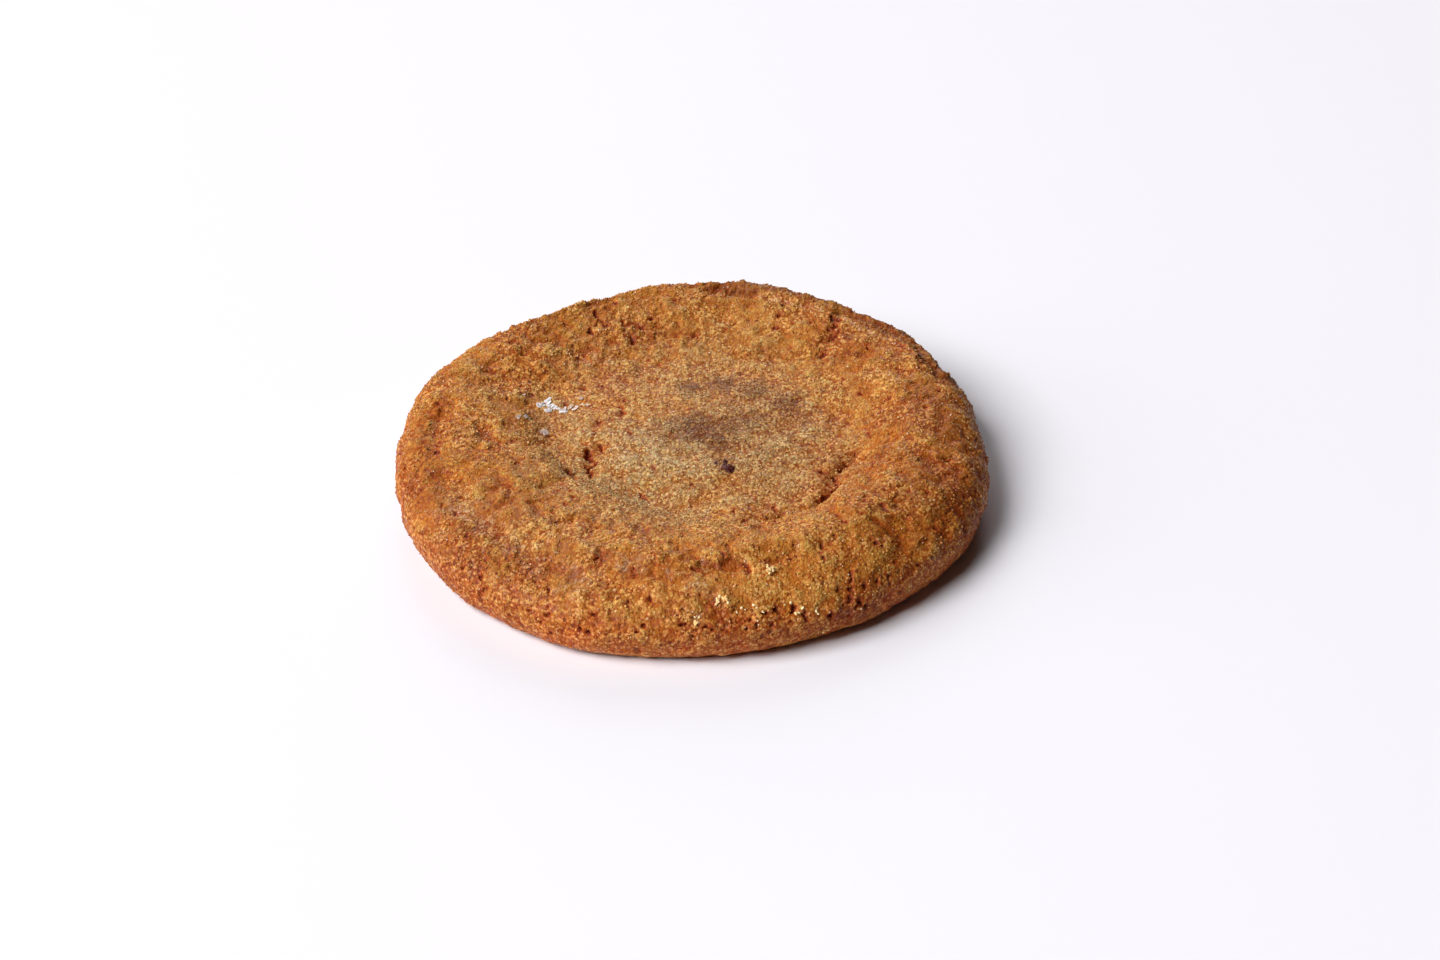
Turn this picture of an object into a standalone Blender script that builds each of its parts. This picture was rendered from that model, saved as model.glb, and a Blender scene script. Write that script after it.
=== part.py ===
"""A large soft-baked cookie, one solid piece, with flakes of sea salt stuck to its top.

The top is lofted through eight sections of the baked dough: a low domed middle, a sunken moat round it, a
raised ring and a rounded outer edge that tucks in at a flat base. Creases, cracks and lumps are then pressed
into that smooth form, and the flakes are joined on with one Boolean. Units are metres, +Z is up, and the
origin is the middle of the base.
"""

import math
import random

import bmesh
import bpy
import numpy as np
from mathutils import Matrix, Vector, noise
from mathutils.bvhtree import BVHTree

MM = 0.001

# Driving dimensions
EDGE_RADIUS = 50.0 * MM
MIDDLE_HEIGHT = 10.3 * MM
DOME_RADIUS = 10.0 * MM
DOME_DROP = 0.15 * MM
SHOULDER_INSET = 2.6 * MM
WIDEST_HEIGHT = 5.6 * MM
TUCK_INSET = 1.2 * MM
TUCK_HEIGHT = 1.5 * MM
BASE_INSET = 2.8 * MM

# The dough spread a little unevenly: (waves round the edge, height of the wave, direction of its first peak)
EDGE_WAVES = (
    (1, 0.35 * MM, math.radians(-105)),
    (2, 0.65 * MM, math.radians(40)),
    (4, 0.50 * MM, math.radians(-20)),
    (5, 0.40 * MM, math.radians(20)),
    (6, 0.35 * MM, math.radians(-28)),
    (7, 0.25 * MM, math.radians(-12)),
)

# One section every 45 degrees, anticlockwise from +X. Each has a radius and a height in mm for the moat,
# for the ring's inner shoulder and for its crest, and then the height of its outer shoulder.
SECTIONS = (
    (27.5, 9.1, 32.5, 11.2, 38.6, 12.9, 10.4),
    (27.5, 9.7, 34.5, 11.5, 41.6, 13.4, 12.6),
    (27.0, 9.9, 36.5, 11.7, 43.4, 13.1, 12.3),
    (29.0, 9.9, 35.5, 11.6, 42.6, 13.0, 11.5),
    (24.0, 9.3, 30.0, 11.7, 40.5, 12.8, 10.9),
    (18.5, 9.2, 24.0, 11.2, 38.5, 12.2, 9.6),
    (21.5, 9.1, 27.5, 11.4, 38.5, 12.6, 8.9),
    (26.0, 9.0, 31.0, 11.5, 38.6, 12.9, 9.3),
)

# How far along the surface, from the middle to the base's edge, each point of a section lies
SECTION_KNOTS = (0.0, 10.0, 24.0, 32.0, 41.0, 48.5, 54.0, 58.0, 60.0)

# Creases and cracks, as (half width, depth, points in mm) seen from above
CREASES = {
    "ring_fold": (1.3, 0.9, ((27.0, -3.0), (25.4, -5.6), (23.8, -8.6), (23.2, -12.6), (21.4, -16.8))),
    "ring_foot": (1.4, 0.6, ((21.4, -16.8), (16.4, -20.8), (12.4, -22.8), (7.6, -24.8))),
    "front_crease": (1.4, 0.6, ((1.0, -40.2), (6.0, -39.6), (11.0, -37.4), (16.0, -36.2), (21.0, -34.2))),
    "front_split": (1.0, 0.3, ((23.6, -39.6), (24.2, -41.4), (24.4, -43.0))),
    "left_fold": (1.4, 0.7, ((-40.6, 5.8), (-42.8, 3.4), (-43.2, -2.0), (-42.4, -6.4))),
    "left_groove": (2.6, 0.5, ((-41.0, -14.0), (-37.0, -22.0), (-30.6, -29.4), (-24.4, -35.4), (-18, -41))),
    "middle_crack": (1.2, 0.5, ((-15.4, -1.0), (-17.2, -3.6), (-16.9, -7.2), (-19.8, -9.2))),
    "middle_foot": (1.3, 0.5, ((-19.8, -9.2), (-21.6, -13.4), (-24.0, -16.4))),
    "back_crack": (1.2, 0.5, ((25.2, 34.5), (24.3, 31.0), (23.5, 28.6), (22.4, 25.6))),
    "back_fold": (0.9, 1.1, ((-0.5, 46.0), (5.7, 44.4), (12.0, 41.4), (19.6, 38.6), (25.8, 36.3))),
    "right_fold": (0.9, 1.0, ((25.8, 36.3), (30.4, 33.8), (34.2, 31.2), (38.8, 25.7), (42.7, 16.5))),
}

# Small mounds: (x, y, radius, height) in mm
MOUNDS = (
    (7.8, -21.0, 4.0, 0.8),
    (2.6, -35.4, 3.4, 0.5),
    (9.8, -34.6, 3.6, 0.6),
    (18.4, -31.0, 4.5, 0.4),
    (26.2, -22.6, 4.0, 0.5),
    (-23.0, -12.6, 2.4, 0.4),
    (47.6, 14.6, 1.8, 0.5),
)

# Lumps left where the dough puffed and fell: (size across, height) of each layer of them
LUMPS = ((10.0 * MM, 0.6 * MM), (4.5 * MM, 0.35 * MM))
MIDDLE_LUMPS = 0.45
RING_STARTS = 22.0 * MM
RING_FULL = 34.0 * MM

# Flakes of salt: (x, y, length, turn in degrees) in mm and degrees, where the largest ones lie
SALT_FLAKES = (
    (-25.3, 11.7, 2.3, 20),
    (-24.3, 10.6, 2.6, 75),
    (-22.6, 9.8, 2.6, 10),
    (-20.4, 10.6, 2.0, 50),
    (-18.9, 11.9, 1.7, 120),
    (-28.7, 5.6, 2.2, 35),
    (-25.2, 2.6, 2.0, 80),
    (-14.3, 23.6, 2.0, 15),
    (-17.4, 25.6, 1.8, 65),
)
FLAKE_THICKNESS = 0.9 * MM
FLAKE_WIDTH_SHARE = 0.72
FLAKE_TAPER = 0.7
FLAKE_TILT = math.radians(14)
FLAKE_SINK = 0.25 * MM

GRID_CELLS = 72
RELAX_PASSES = 30


def smoothstep(low, high, value):
    """0 below low, 1 above high, and a smooth rise between them."""
    share = np.clip((value - low) / (high - low), 0.0, 1.0)
    return share * share * (3.0 - 2.0 * share)


def curve_through(knots, values, at):
    """Heights of smooth curves, one for each column of values, which gives its height at each knot."""
    knots = np.asarray(knots, float)
    slopes = np.gradient(values, knots, axis=0)
    span = np.clip(np.searchsorted(knots, at, side="right") - 1, 0, len(knots) - 2)
    column = np.arange(len(at))
    width = knots[span + 1] - knots[span]
    t = (at - knots[span]) / width
    start, end = values[span, column], values[span + 1, column]
    leave, arrive = slopes[span, column] * width, slopes[span + 1, column] * width
    return (
        (2 * t**3 - 3 * t**2 + 1) * start
        + (t**3 - 2 * t**2 + t) * leave
        + (3 * t**2 - 2 * t**3) * end
        + (t**3 - t**2) * arrive
    )


def round_the_clock(rows, angle):
    """Each column of rows at each angle, read from a closed smooth curve through the rows."""
    rows = np.asarray(rows, float)
    wrapped = np.concatenate([rows[-2:], rows, rows[:3]])
    step = 2 * math.pi / len(rows)
    knots = (np.arange(len(wrapped)) - 2) * step
    turned = np.mod(angle, 2 * math.pi)
    columns = [np.repeat(column[:, None], len(angle), axis=1) for column in wrapped.T]
    return [curve_through(knots, column, turned) for column in columns]


def edge_radius(angle):
    """The cookie's widest radius in each direction."""
    radius = np.full_like(angle, EDGE_RADIUS)
    for waves, height, peak in EDGE_WAVES:
        radius += height * np.cos(waves * (angle - peak))
    return radius


def lofted(share, angle):
    """(radius, height) of the smooth cookie, share of the way from its middle to the base's edge."""
    moat_r, moat_z, inner_r, inner_z, crest_r, crest_z, outer_z = round_the_clock(SECTIONS, angle)
    widest = edge_radius(angle)
    fixed = np.ones_like(angle)
    radii = np.array(
        [
            0.0 * fixed,
            DOME_RADIUS * fixed,
            moat_r * MM,
            inner_r * MM,
            crest_r * MM,
            widest - SHOULDER_INSET,
            widest,
            widest - TUCK_INSET,
            widest - BASE_INSET,
        ]
    )
    heights = np.array(
        [
            MIDDLE_HEIGHT * fixed,
            (MIDDLE_HEIGHT - DOME_DROP) * fixed,
            moat_z * MM,
            inner_z * MM,
            crest_z * MM,
            outer_z * MM,
            WIDEST_HEIGHT * fixed,
            TUCK_HEIGHT * fixed,
            0.0 * fixed,
        ]
    )
    along = share * SECTION_KNOTS[-1]
    return curve_through(SECTION_KNOTS, radii, along), curve_through(SECTION_KNOTS, heights, along)


def distance_to_line(x, y, points):
    """Distance of each (x, y) from a line through the points, all in mm."""
    nearest = np.full_like(x, np.inf)
    for (x0, y0), (x1, y1) in zip(points, points[1:]):
        run_x, run_y = x1 - x0, y1 - y0
        t = np.clip(((x - x0) * run_x + (y - y0) * run_y) / (run_x**2 + run_y**2), 0, 1)
        nearest = np.minimum(nearest, np.hypot(x - x0 - t * run_x, y - y0 - t * run_y))
    return nearest


def relief(places):
    """How far the lumps and creases move each place out from the smooth cookie."""
    x, y = places[:, 0], places[:, 1]
    ring = smoothstep(RING_STARTS, RING_FULL, np.hypot(x, y))
    lumps = np.zeros(len(places))
    for size, height in LUMPS:
        lumps += height * np.array([noise.noise(Vector(p) / size) for p in places])
    moved = lumps * (MIDDLE_LUMPS + (1 - MIDDLE_LUMPS) * ring)
    for half_width, depth, points in CREASES.values():
        away = distance_to_line(x / MM, y / MM, points)
        moved -= depth * MM * np.exp(-((away / half_width) ** 2))
    for mound_x, mound_y, radius, height in MOUNDS:
        away = np.hypot(x / MM - mound_x, y / MM - mound_y)
        moved += height * MM * np.exp(-((away / radius) ** 2))
    return moved


def disc_of_squares(bm):
    """A flat disc of radius 1 made from a square grid, with its cells evened out."""
    bmesh.ops.create_grid(bm, x_segments=GRID_CELLS, y_segments=GRID_CELLS, size=1.0)
    for vert in bm.verts:
        a, b = vert.co.x, vert.co.y
        reach = max(abs(a), abs(b))
        if reach == 0:
            continue
        if abs(a) >= abs(b):
            angle = math.pi / 4 * b / a + (math.pi if a < 0 else 0)
        else:
            angle = math.pi / 2 - math.pi / 4 * a / b + (math.pi if b < 0 else 0)
        vert.co = Vector((reach * math.cos(angle), reach * math.sin(angle), 0))
    inner = [vert for vert in bm.verts if not vert.is_boundary]
    for _ in range(RELAX_PASSES):
        bmesh.ops.smooth_vert(bm, verts=inner, factor=0.5, use_axis_x=True, use_axis_y=True)


def places_of(bm):
    return np.array([vert.co for vert in bm.verts], float)


def move_to(bm, places):
    for vert, place in zip(bm.verts, places):
        vert.co = place


def press_relief(bm):
    """Moves each point of the upper shell along its normal. The rim that meets the base stays put."""
    bm.normal_update()
    places = places_of(bm)
    normals = np.array([vert.normal for vert in bm.verts], float)
    free = smoothstep(0.0, 2.0 * MM, places[:, 2])
    move_to(bm, places + normals * (relief(places) * free)[:, None])


def cookie_mesh():
    """The baked dough: the lofted upper shell with its relief, closed by a flat base."""
    bm = bmesh.new()
    disc_of_squares(bm)
    flat = places_of(bm)
    angle = np.arctan2(flat[:, 1], flat[:, 0])
    share = np.clip(np.hypot(flat[:, 0], flat[:, 1]), 0.0, 1.0)
    radius, height = lofted(share, angle)
    move_to(bm, np.stack([radius * np.cos(angle), radius * np.sin(angle), height], axis=1))
    press_relief(bm)
    rim = [edge for edge in bm.edges if edge.is_boundary]
    bmesh.ops.contextual_create(bm, geom=rim)
    bmesh.ops.triangulate(bm, faces=bm.faces[:])
    bmesh.ops.recalc_face_normals(bm, faces=bm.faces[:])
    mesh = bpy.data.meshes.new("cookie")
    bm.to_mesh(mesh)
    bm.free()
    mesh.shade_smooth()
    mesh.set_sharp_from_angle(angle=math.radians(40))
    return mesh


def baked_dough():
    material = bpy.data.materials.new("baked_dough")
    material.use_nodes = True
    shader = material.node_tree.nodes["Principled BSDF"]
    shader.inputs["Base Color"].default_value = (0.44, 0.18, 0.05, 1.0)
    shader.inputs["Roughness"].default_value = 0.62
    shader.inputs["Metallic"].default_value = 0.0
    return material


def add_flake(number, spot, surface, collection):
    """One crystal of salt: a thin tapered slab, tilted a little and sunk into the crust where it fell."""
    x, y, length, turn = spot
    size = length * MM
    dice = random.Random(number)
    bm = bmesh.new()
    bmesh.ops.create_cube(bm, size=1.0)
    bmesh.ops.scale(bm, vec=(size, size * FLAKE_WIDTH_SHARE, FLAKE_THICKNESS), verts=bm.verts)
    top = [vert for vert in bm.verts if vert.co.z > 0]
    corners = [edge for edge in bm.edges if (edge.verts[0] in top) != (edge.verts[1] in top)]
    bmesh.ops.scale(bm, vec=(FLAKE_TAPER, FLAKE_TAPER, 1.0), verts=top)
    bmesh.ops.bevel(
        bm,
        geom=dice.sample(corners, 2),
        offset=size * 0.2,
        affect="EDGES",
        segments=1,
        profile=0.5,
        material=-1,
    )
    place, normal, _, _ = surface.ray_cast(Vector((x * MM, y * MM, EDGE_RADIUS)), Vector((0, 0, -1)))
    lean = Matrix.Rotation(dice.uniform(-FLAKE_TILT, FLAKE_TILT), 4, "X")
    spin = Matrix.Rotation(math.radians(turn), 4, "Z")
    seat = normal.to_track_quat("Z", "Y").to_matrix().to_4x4()
    raised = place + normal * (FLAKE_THICKNESS / 2 - FLAKE_SINK)
    bmesh.ops.transform(bm, matrix=Matrix.Translation(raised) @ seat @ spin @ lean, verts=bm.verts)
    mesh = bpy.data.meshes.new(f"flake_{number}")
    bm.to_mesh(mesh)
    bm.free()
    collection.objects.link(bpy.data.objects.new(mesh.name, mesh))


def join_flakes(cookie):
    """Joins every flake to the cookie with one Boolean union, and removes the loose flakes."""
    surface = BVHTree.FromPolygons(
        [vert.co for vert in cookie.data.vertices], [face.vertices for face in cookie.data.polygons]
    )
    flakes = bpy.data.collections.new("salt_flakes")
    bpy.context.scene.collection.children.link(flakes)
    for number, spot in enumerate(SALT_FLAKES):
        add_flake(number, spot, surface, flakes)
    union = cookie.modifiers.new("join_flakes", "BOOLEAN")
    union.operation = "UNION"
    union.operand_type = "COLLECTION"
    union.collection = flakes
    union.solver = "EXACT"
    graph = bpy.context.evaluated_depsgraph_get()
    joined = bpy.data.meshes.new_from_object(cookie.evaluated_get(graph))
    cookie.modifiers.remove(union)
    cookie.data = joined
    for flake in list(flakes.objects):
        bpy.data.objects.remove(flake)
    bpy.data.collections.remove(flakes)


def main():
    for old in list(bpy.data.objects):
        bpy.data.objects.remove(old)
    cookie = bpy.data.objects.new("cookie", cookie_mesh())
    bpy.context.scene.collection.objects.link(cookie)
    cookie.data.materials.append(baked_dough())
    join_flakes(cookie)
    cookie.data.name = "cookie"


main()
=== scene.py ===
# %% [markdown]
# # A soft-baked cookie
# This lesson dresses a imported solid, the cookie's plain form, with a finer model of the same cookie. The
# solid carries the collision and the mass. What is made here carries the looks: the sandy crust, the cracks
# and pores, the salt, the crumbs and the fleck of dark chocolate. Everything is in metres, with +Z up and
# the middle of the cookie's base at the origin.

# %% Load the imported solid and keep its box
import math
import random

import bmesh
import bpy
import numpy as np
from mathutils import Euler, Matrix, Vector, noise
from mathutils.bvhtree import BVHTree


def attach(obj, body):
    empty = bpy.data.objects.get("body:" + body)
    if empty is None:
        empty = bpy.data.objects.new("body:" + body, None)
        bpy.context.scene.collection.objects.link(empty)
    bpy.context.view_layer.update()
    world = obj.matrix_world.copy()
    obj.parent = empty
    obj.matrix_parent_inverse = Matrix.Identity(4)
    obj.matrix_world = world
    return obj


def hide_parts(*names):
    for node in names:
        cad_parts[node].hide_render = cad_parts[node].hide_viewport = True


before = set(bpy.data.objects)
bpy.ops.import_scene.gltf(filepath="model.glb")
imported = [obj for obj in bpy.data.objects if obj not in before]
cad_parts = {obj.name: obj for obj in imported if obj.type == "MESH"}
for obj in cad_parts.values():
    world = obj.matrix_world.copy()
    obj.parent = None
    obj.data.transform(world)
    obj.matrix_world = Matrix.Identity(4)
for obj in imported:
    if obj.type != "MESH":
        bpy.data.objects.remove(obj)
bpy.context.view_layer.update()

MM = 0.001

# %% [markdown]
# ## The camera
# The cookie was seen from 34 degrees above the table with a short telephoto lens, which keeps its far edge
# nearly as wide as its near one. The camera aims a little to the right of the middle, so the cookie lies
# left of the picture's centre, as the light's shadow falls to the right.

# %% Put the camera where the cookie was seen from
VIEW_HEIGHT = math.radians(34)
CAMERA_DISTANCE = 580 * MM
AIM = Vector((4.67, 2.88, 0.0)) * MM


def put_in_scene(name, data):
    """A new object in the scene that shows a mesh, a light or a camera."""
    thing = bpy.data.objects.new(name, data)
    bpy.context.scene.collection.objects.link(thing)
    return thing


camera_data = bpy.data.cameras.new("camera")
camera_data.lens = 85
camera_data.sensor_width = 36
camera_data.clip_start = 0.01
camera = put_in_scene("camera", camera_data)
camera.location = AIM + Vector((0, -math.cos(VIEW_HEIGHT), math.sin(VIEW_HEIGHT))) * CAMERA_DISTANCE
camera.rotation_euler = (math.pi / 2 - VIEW_HEIGHT, 0, 0)
bpy.context.scene.camera = camera
print("camera at", [round(value, 3) for value in camera.location])

# %% [markdown]
# ## Floor and light
# A plain white table, one big soft window of light from the left and a little in front, and weaker light
# from low on the left and from behind. Nearly none comes from the right, so the shadow falls to the right
# with a wide soft edge, the crust's grains cast short shadows, and the right slope lies in soft shade.

# %% Choose how the picture is developed
bpy.context.scene.view_settings.view_transform = "Standard"


# %% Write the helpers for colours, nodes and materials
def linear(hex_colour):
    """The linear colour of an sRGB hex value such as "#c8862f"."""
    channels = [int(hex_colour[place : place + 2], 16) / 255 for place in (1, 3, 5)]
    return [value / 12.92 if value <= 0.04045 else ((value + 0.055) / 1.055) ** 2.4 for value in channels]


def fill(tree, node, **links):
    """Links or fills a node's sockets, each named by its name or as i_number."""
    for name, value in links.items():
        socket = node.inputs[int(name[2:])] if name.startswith("i_") else node.inputs[name.replace("_", " ")]
        if isinstance(value, bpy.types.NodeSocket):
            tree.links.new(value, socket)
        else:
            socket.default_value = value


def add(tree, kind, settings=None, **links):
    """Adds a node with its settings, and links or fills its sockets."""
    node = tree.nodes.new(kind)
    for name, value in (settings or {}).items():
        setattr(node, name, value)
    fill(tree, node, **links)
    return node


def new_material(name, roughness, ior):
    """A new material with its tree and its Principled shader."""
    material = bpy.data.materials.new(name)
    material.use_nodes = True
    shader = material.node_tree.nodes["Principled BSDF"]
    fill(material.node_tree, shader, Roughness=roughness, IOR=ior)
    return material, material.node_tree, shader


def mesh_from(bm, name):
    """A new mesh made from a bmesh, which is then freed."""
    mesh = bpy.data.meshes.new(name)
    bm.to_mesh(mesh)
    bm.free()
    return mesh


# %% Lay the table
FLOOR_DROP = 0.05 * MM
FLOOR_SIZE = 3.0

floor_bm = bmesh.new()
bmesh.ops.create_grid(floor_bm, x_segments=1, y_segments=1, size=FLOOR_SIZE)
bmesh.ops.translate(floor_bm, vec=(0, 0, -FLOOR_DROP), verts=floor_bm.verts)
table_top = put_in_scene("table_top", mesh_from(floor_bm, "table_top"))
# Matt white paint: chalky pigment in a dull binder, with an index of refraction of 1.5
white_paint, white_tree, white_shader = new_material("matt_white_paint", 0.7, 1.5)
fill(white_tree, white_shader, Base_Color=(*linear("#eceaf0"), 1), Specular_IOR_Level=0.2)
table_top.data.materials.append(white_paint)

# %% Hang the lights
WORLD_STRENGTH = 0.012

world = bpy.data.worlds.new("soft_surround")
world.use_nodes = True
sky = world.node_tree.nodes["Background"]
fill(world.node_tree, sky, Color=(*linear("#fbfbff"), 1), Strength=WORLD_STRENGTH)
bpy.context.scene.world = world


def hang_light(name, azimuth, elevation, distance, size, watts):
    """A square soft light that faces the cookie, at angles in degrees. Azimuth is anticlockwise from +X."""
    lamp = bpy.data.lights.new(name, "AREA")
    lamp.shape = "SQUARE"
    lamp.size = size
    lamp.energy = watts
    turn, rise = math.radians(azimuth), math.radians(elevation)
    way = Vector((math.cos(turn) * math.cos(rise), math.sin(turn) * math.cos(rise), math.sin(rise)))
    light = put_in_scene(name, lamp)
    light.location = way * distance
    light.rotation_euler = (-way).to_track_quat("-Z", "Y").to_euler()


hang_light("window", azimuth=205, elevation=46, distance=4.0, size=2.5, watts=228)
hang_light("low_window", azimuth=186, elevation=18, distance=4.0, size=2.0, watts=55)
hang_light("back_wall", azimuth=92, elevation=26, distance=4.0, size=2.4, watts=56)
print("lights hung")

# %% [markdown]
# ## The form of the dough
# A ball of dough spreads as it melts, its rim sets first, and the middle then falls. That leaves four
# things to model: a low dome, a moat, a ring and an edge that tucks in at the tray. The solid was lofted
# through eight sections with those parts in them, and the same eight are used here, so both have one form.
# A loft is the right tool, because each of those heights changes slowly round the cookie.

# %% Name the sizes of the dough
EDGE_RADIUS = 50.0 * MM
MIDDLE_HEIGHT = 10.3 * MM
DOME_RADIUS = 10.0 * MM
DOME_DROP = 0.15 * MM
SHOULDER_INSET = 2.6 * MM
WIDEST_HEIGHT = 5.6 * MM
TUCK_INSET = 1.2 * MM
TUCK_HEIGHT = 1.5 * MM
BASE_INSET = 2.8 * MM

# (waves round the edge, height of the wave, direction of its first peak)
EDGE_WAVES = (
    (1, 0.35 * MM, math.radians(-105)),
    (2, 0.65 * MM, math.radians(40)),
    (4, 0.50 * MM, math.radians(-20)),
    (5, 0.40 * MM, math.radians(20)),
    (6, 0.35 * MM, math.radians(-28)),
    (7, 0.25 * MM, math.radians(-12)),
)

# One section every 45 degrees from +X, in mm: radius and height of the moat, of the ring's inner shoulder
# and of its crest, and then the height of the outer shoulder
SECTIONS = (
    (27.5, 9.1, 32.5, 11.2, 38.6, 12.9, 10.4),
    (27.5, 9.7, 34.5, 11.5, 41.6, 13.4, 12.6),
    (27.0, 9.9, 36.5, 11.7, 43.4, 13.1, 12.3),
    (29.0, 9.9, 35.5, 11.6, 42.6, 13.0, 11.5),
    (24.0, 9.3, 30.0, 11.7, 40.5, 12.8, 10.9),
    (18.5, 9.2, 24.0, 11.2, 38.5, 12.2, 9.6),
    (21.5, 9.1, 27.5, 11.4, 38.5, 12.6, 8.9),
    (26.0, 9.0, 31.0, 11.5, 38.6, 12.9, 9.3),
)
SECTION_KNOTS = (0.0, 10.0, 24.0, 32.0, 41.0, 48.5, 54.0, 58.0, 60.0)


def smoothstep(low, high, value):
    """0 below low, 1 above high, and a smooth rise between them."""
    share = np.clip((value - low) / (high - low), 0.0, 1.0)
    return share * share * (3.0 - 2.0 * share)


def curve_through(knots, values, at):
    """Heights of smooth curves, one for each column of values, which gives its height at each knot."""
    knots = np.asarray(knots, float)
    slopes = np.gradient(values, knots, axis=0)
    span = np.clip(np.searchsorted(knots, at, side="right") - 1, 0, len(knots) - 2)
    column = np.arange(len(at))
    width = knots[span + 1] - knots[span]
    t = (at - knots[span]) / width
    start, end = values[span, column], values[span + 1, column]
    leave, arrive = slopes[span, column] * width, slopes[span + 1, column] * width
    return (
        (2 * t**3 - 3 * t**2 + 1) * start
        + (t**3 - 2 * t**2 + t) * leave
        + (3 * t**2 - 2 * t**3) * end
        + (t**3 - t**2) * arrive
    )


def round_the_clock(rows, angle):
    """Each column of rows at each angle, read from a closed smooth curve through the rows."""
    rows = np.asarray(rows, float)
    wrapped = np.concatenate([rows[-2:], rows, rows[:3]])
    knots = (np.arange(len(wrapped)) - 2) * (2 * math.pi / len(rows))
    turned = np.mod(angle, 2 * math.pi)
    return [curve_through(knots, np.repeat(c[:, None], len(angle), axis=1), turned) for c in wrapped.T]


def edge_radius(angle):
    """The cookie's widest radius in each direction."""
    radius = np.full_like(angle, EDGE_RADIUS)
    for waves, height, peak in EDGE_WAVES:
        radius += height * np.cos(waves * (angle - peak))
    return radius


def lofted(share, angle):
    """(radius, height) of the smooth cookie, share of the way from its middle to the base's edge."""
    moat_r, moat_z, inner_r, inner_z, crest_r, crest_z, outer_z = round_the_clock(SECTIONS, angle)
    widest = edge_radius(angle)
    fixed = np.ones_like(angle)
    inward = np.array([0.0 * fixed, DOME_RADIUS * fixed, moat_r * MM, inner_r * MM, crest_r * MM])
    outward = np.array([widest - SHOULDER_INSET, widest, widest - TUCK_INSET, widest - BASE_INSET])
    upper = np.array([MIDDLE_HEIGHT * fixed, (MIDDLE_HEIGHT - DOME_DROP) * fixed, moat_z * MM, inner_z * MM])
    lower = np.array([crest_z * MM, outer_z * MM, WIDEST_HEIGHT * fixed, TUCK_HEIGHT * fixed, 0.0 * fixed])
    along = share * SECTION_KNOTS[-1]
    radii = curve_through(SECTION_KNOTS, np.concatenate([inward, outward]), along)
    heights = curve_through(SECTION_KNOTS, np.concatenate([upper, lower]), along)
    return radii, heights


# %% [markdown]
# ## A grid for the crust
# A disc of rings and spokes crowds its faces at the middle. A square grid pushed out to a round edge has
# faces of nearly one size all over, so the grain will be equally fine everywhere. A few passes of
# smooth_vert even out the corners of the squares. At 288 cells across, a face is about 0.35 mm wide, which
# is the size of a grain of sugar.

# %% Lay the grid and loft it
GRID_CELLS = 288
RELAX_PASSES = 60


def places_of(bm):
    return np.array([vert.co for vert in bm.verts], float)


def normals_of(bm):
    bm.normal_update()
    return np.array([vert.normal for vert in bm.verts], float)


def move_to(bm, places):
    for vert, place in zip(bm.verts, places.tolist()):
        vert.co = place


def push_out(bm, amount_of):
    """Moves each point out along its normal by what amount_of gives for all the places."""
    places, normals = places_of(bm), normals_of(bm)
    move_to(bm, places + normals * amount_of(places)[:, None])


crust = bmesh.new()
bmesh.ops.create_grid(crust, x_segments=GRID_CELLS, y_segments=GRID_CELLS, size=1.0)
square = places_of(crust)
reach = np.abs(square[:, :2]).max(axis=1)
across, up = square[:, 0], square[:, 1]
sideways = np.abs(across) >= np.abs(up)
safe_across = np.where(across == 0, 1.0, across)
safe_up = np.where(up == 0, 1.0, up)
turn = np.where(
    sideways,
    math.pi / 4 * up / safe_across + np.where(across < 0, math.pi, 0),
    math.pi / 2 - math.pi / 4 * across / safe_up + np.where(up < 0, math.pi, 0),
)
move_to(crust, np.stack([reach * np.cos(turn), reach * np.sin(turn), 0 * reach], axis=1))
inner_verts = [vert for vert in crust.verts if not vert.is_boundary]
for _ in range(RELAX_PASSES):
    bmesh.ops.smooth_vert(crust, verts=inner_verts, factor=0.5, use_axis_x=True, use_axis_y=True)
flat = places_of(crust)
spin_angle = np.arctan2(flat[:, 1], flat[:, 0])
radius, height = lofted(np.clip(np.hypot(flat[:, 0], flat[:, 1]), 0, 1), spin_angle)
move_to(crust, np.stack([radius * np.cos(spin_angle), radius * np.sin(spin_angle), height], axis=1))
print("crust has", len(crust.verts), "points")

# %% [markdown]
# ## Creases, mounds and lumps
# The solid has these too, from the same numbers: folds where the ring slumped over the middle, a few
# mounds, and soft lumps where the dough puffed and fell. Each is pressed in along the surface's own normal,
# as a finger would.

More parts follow.
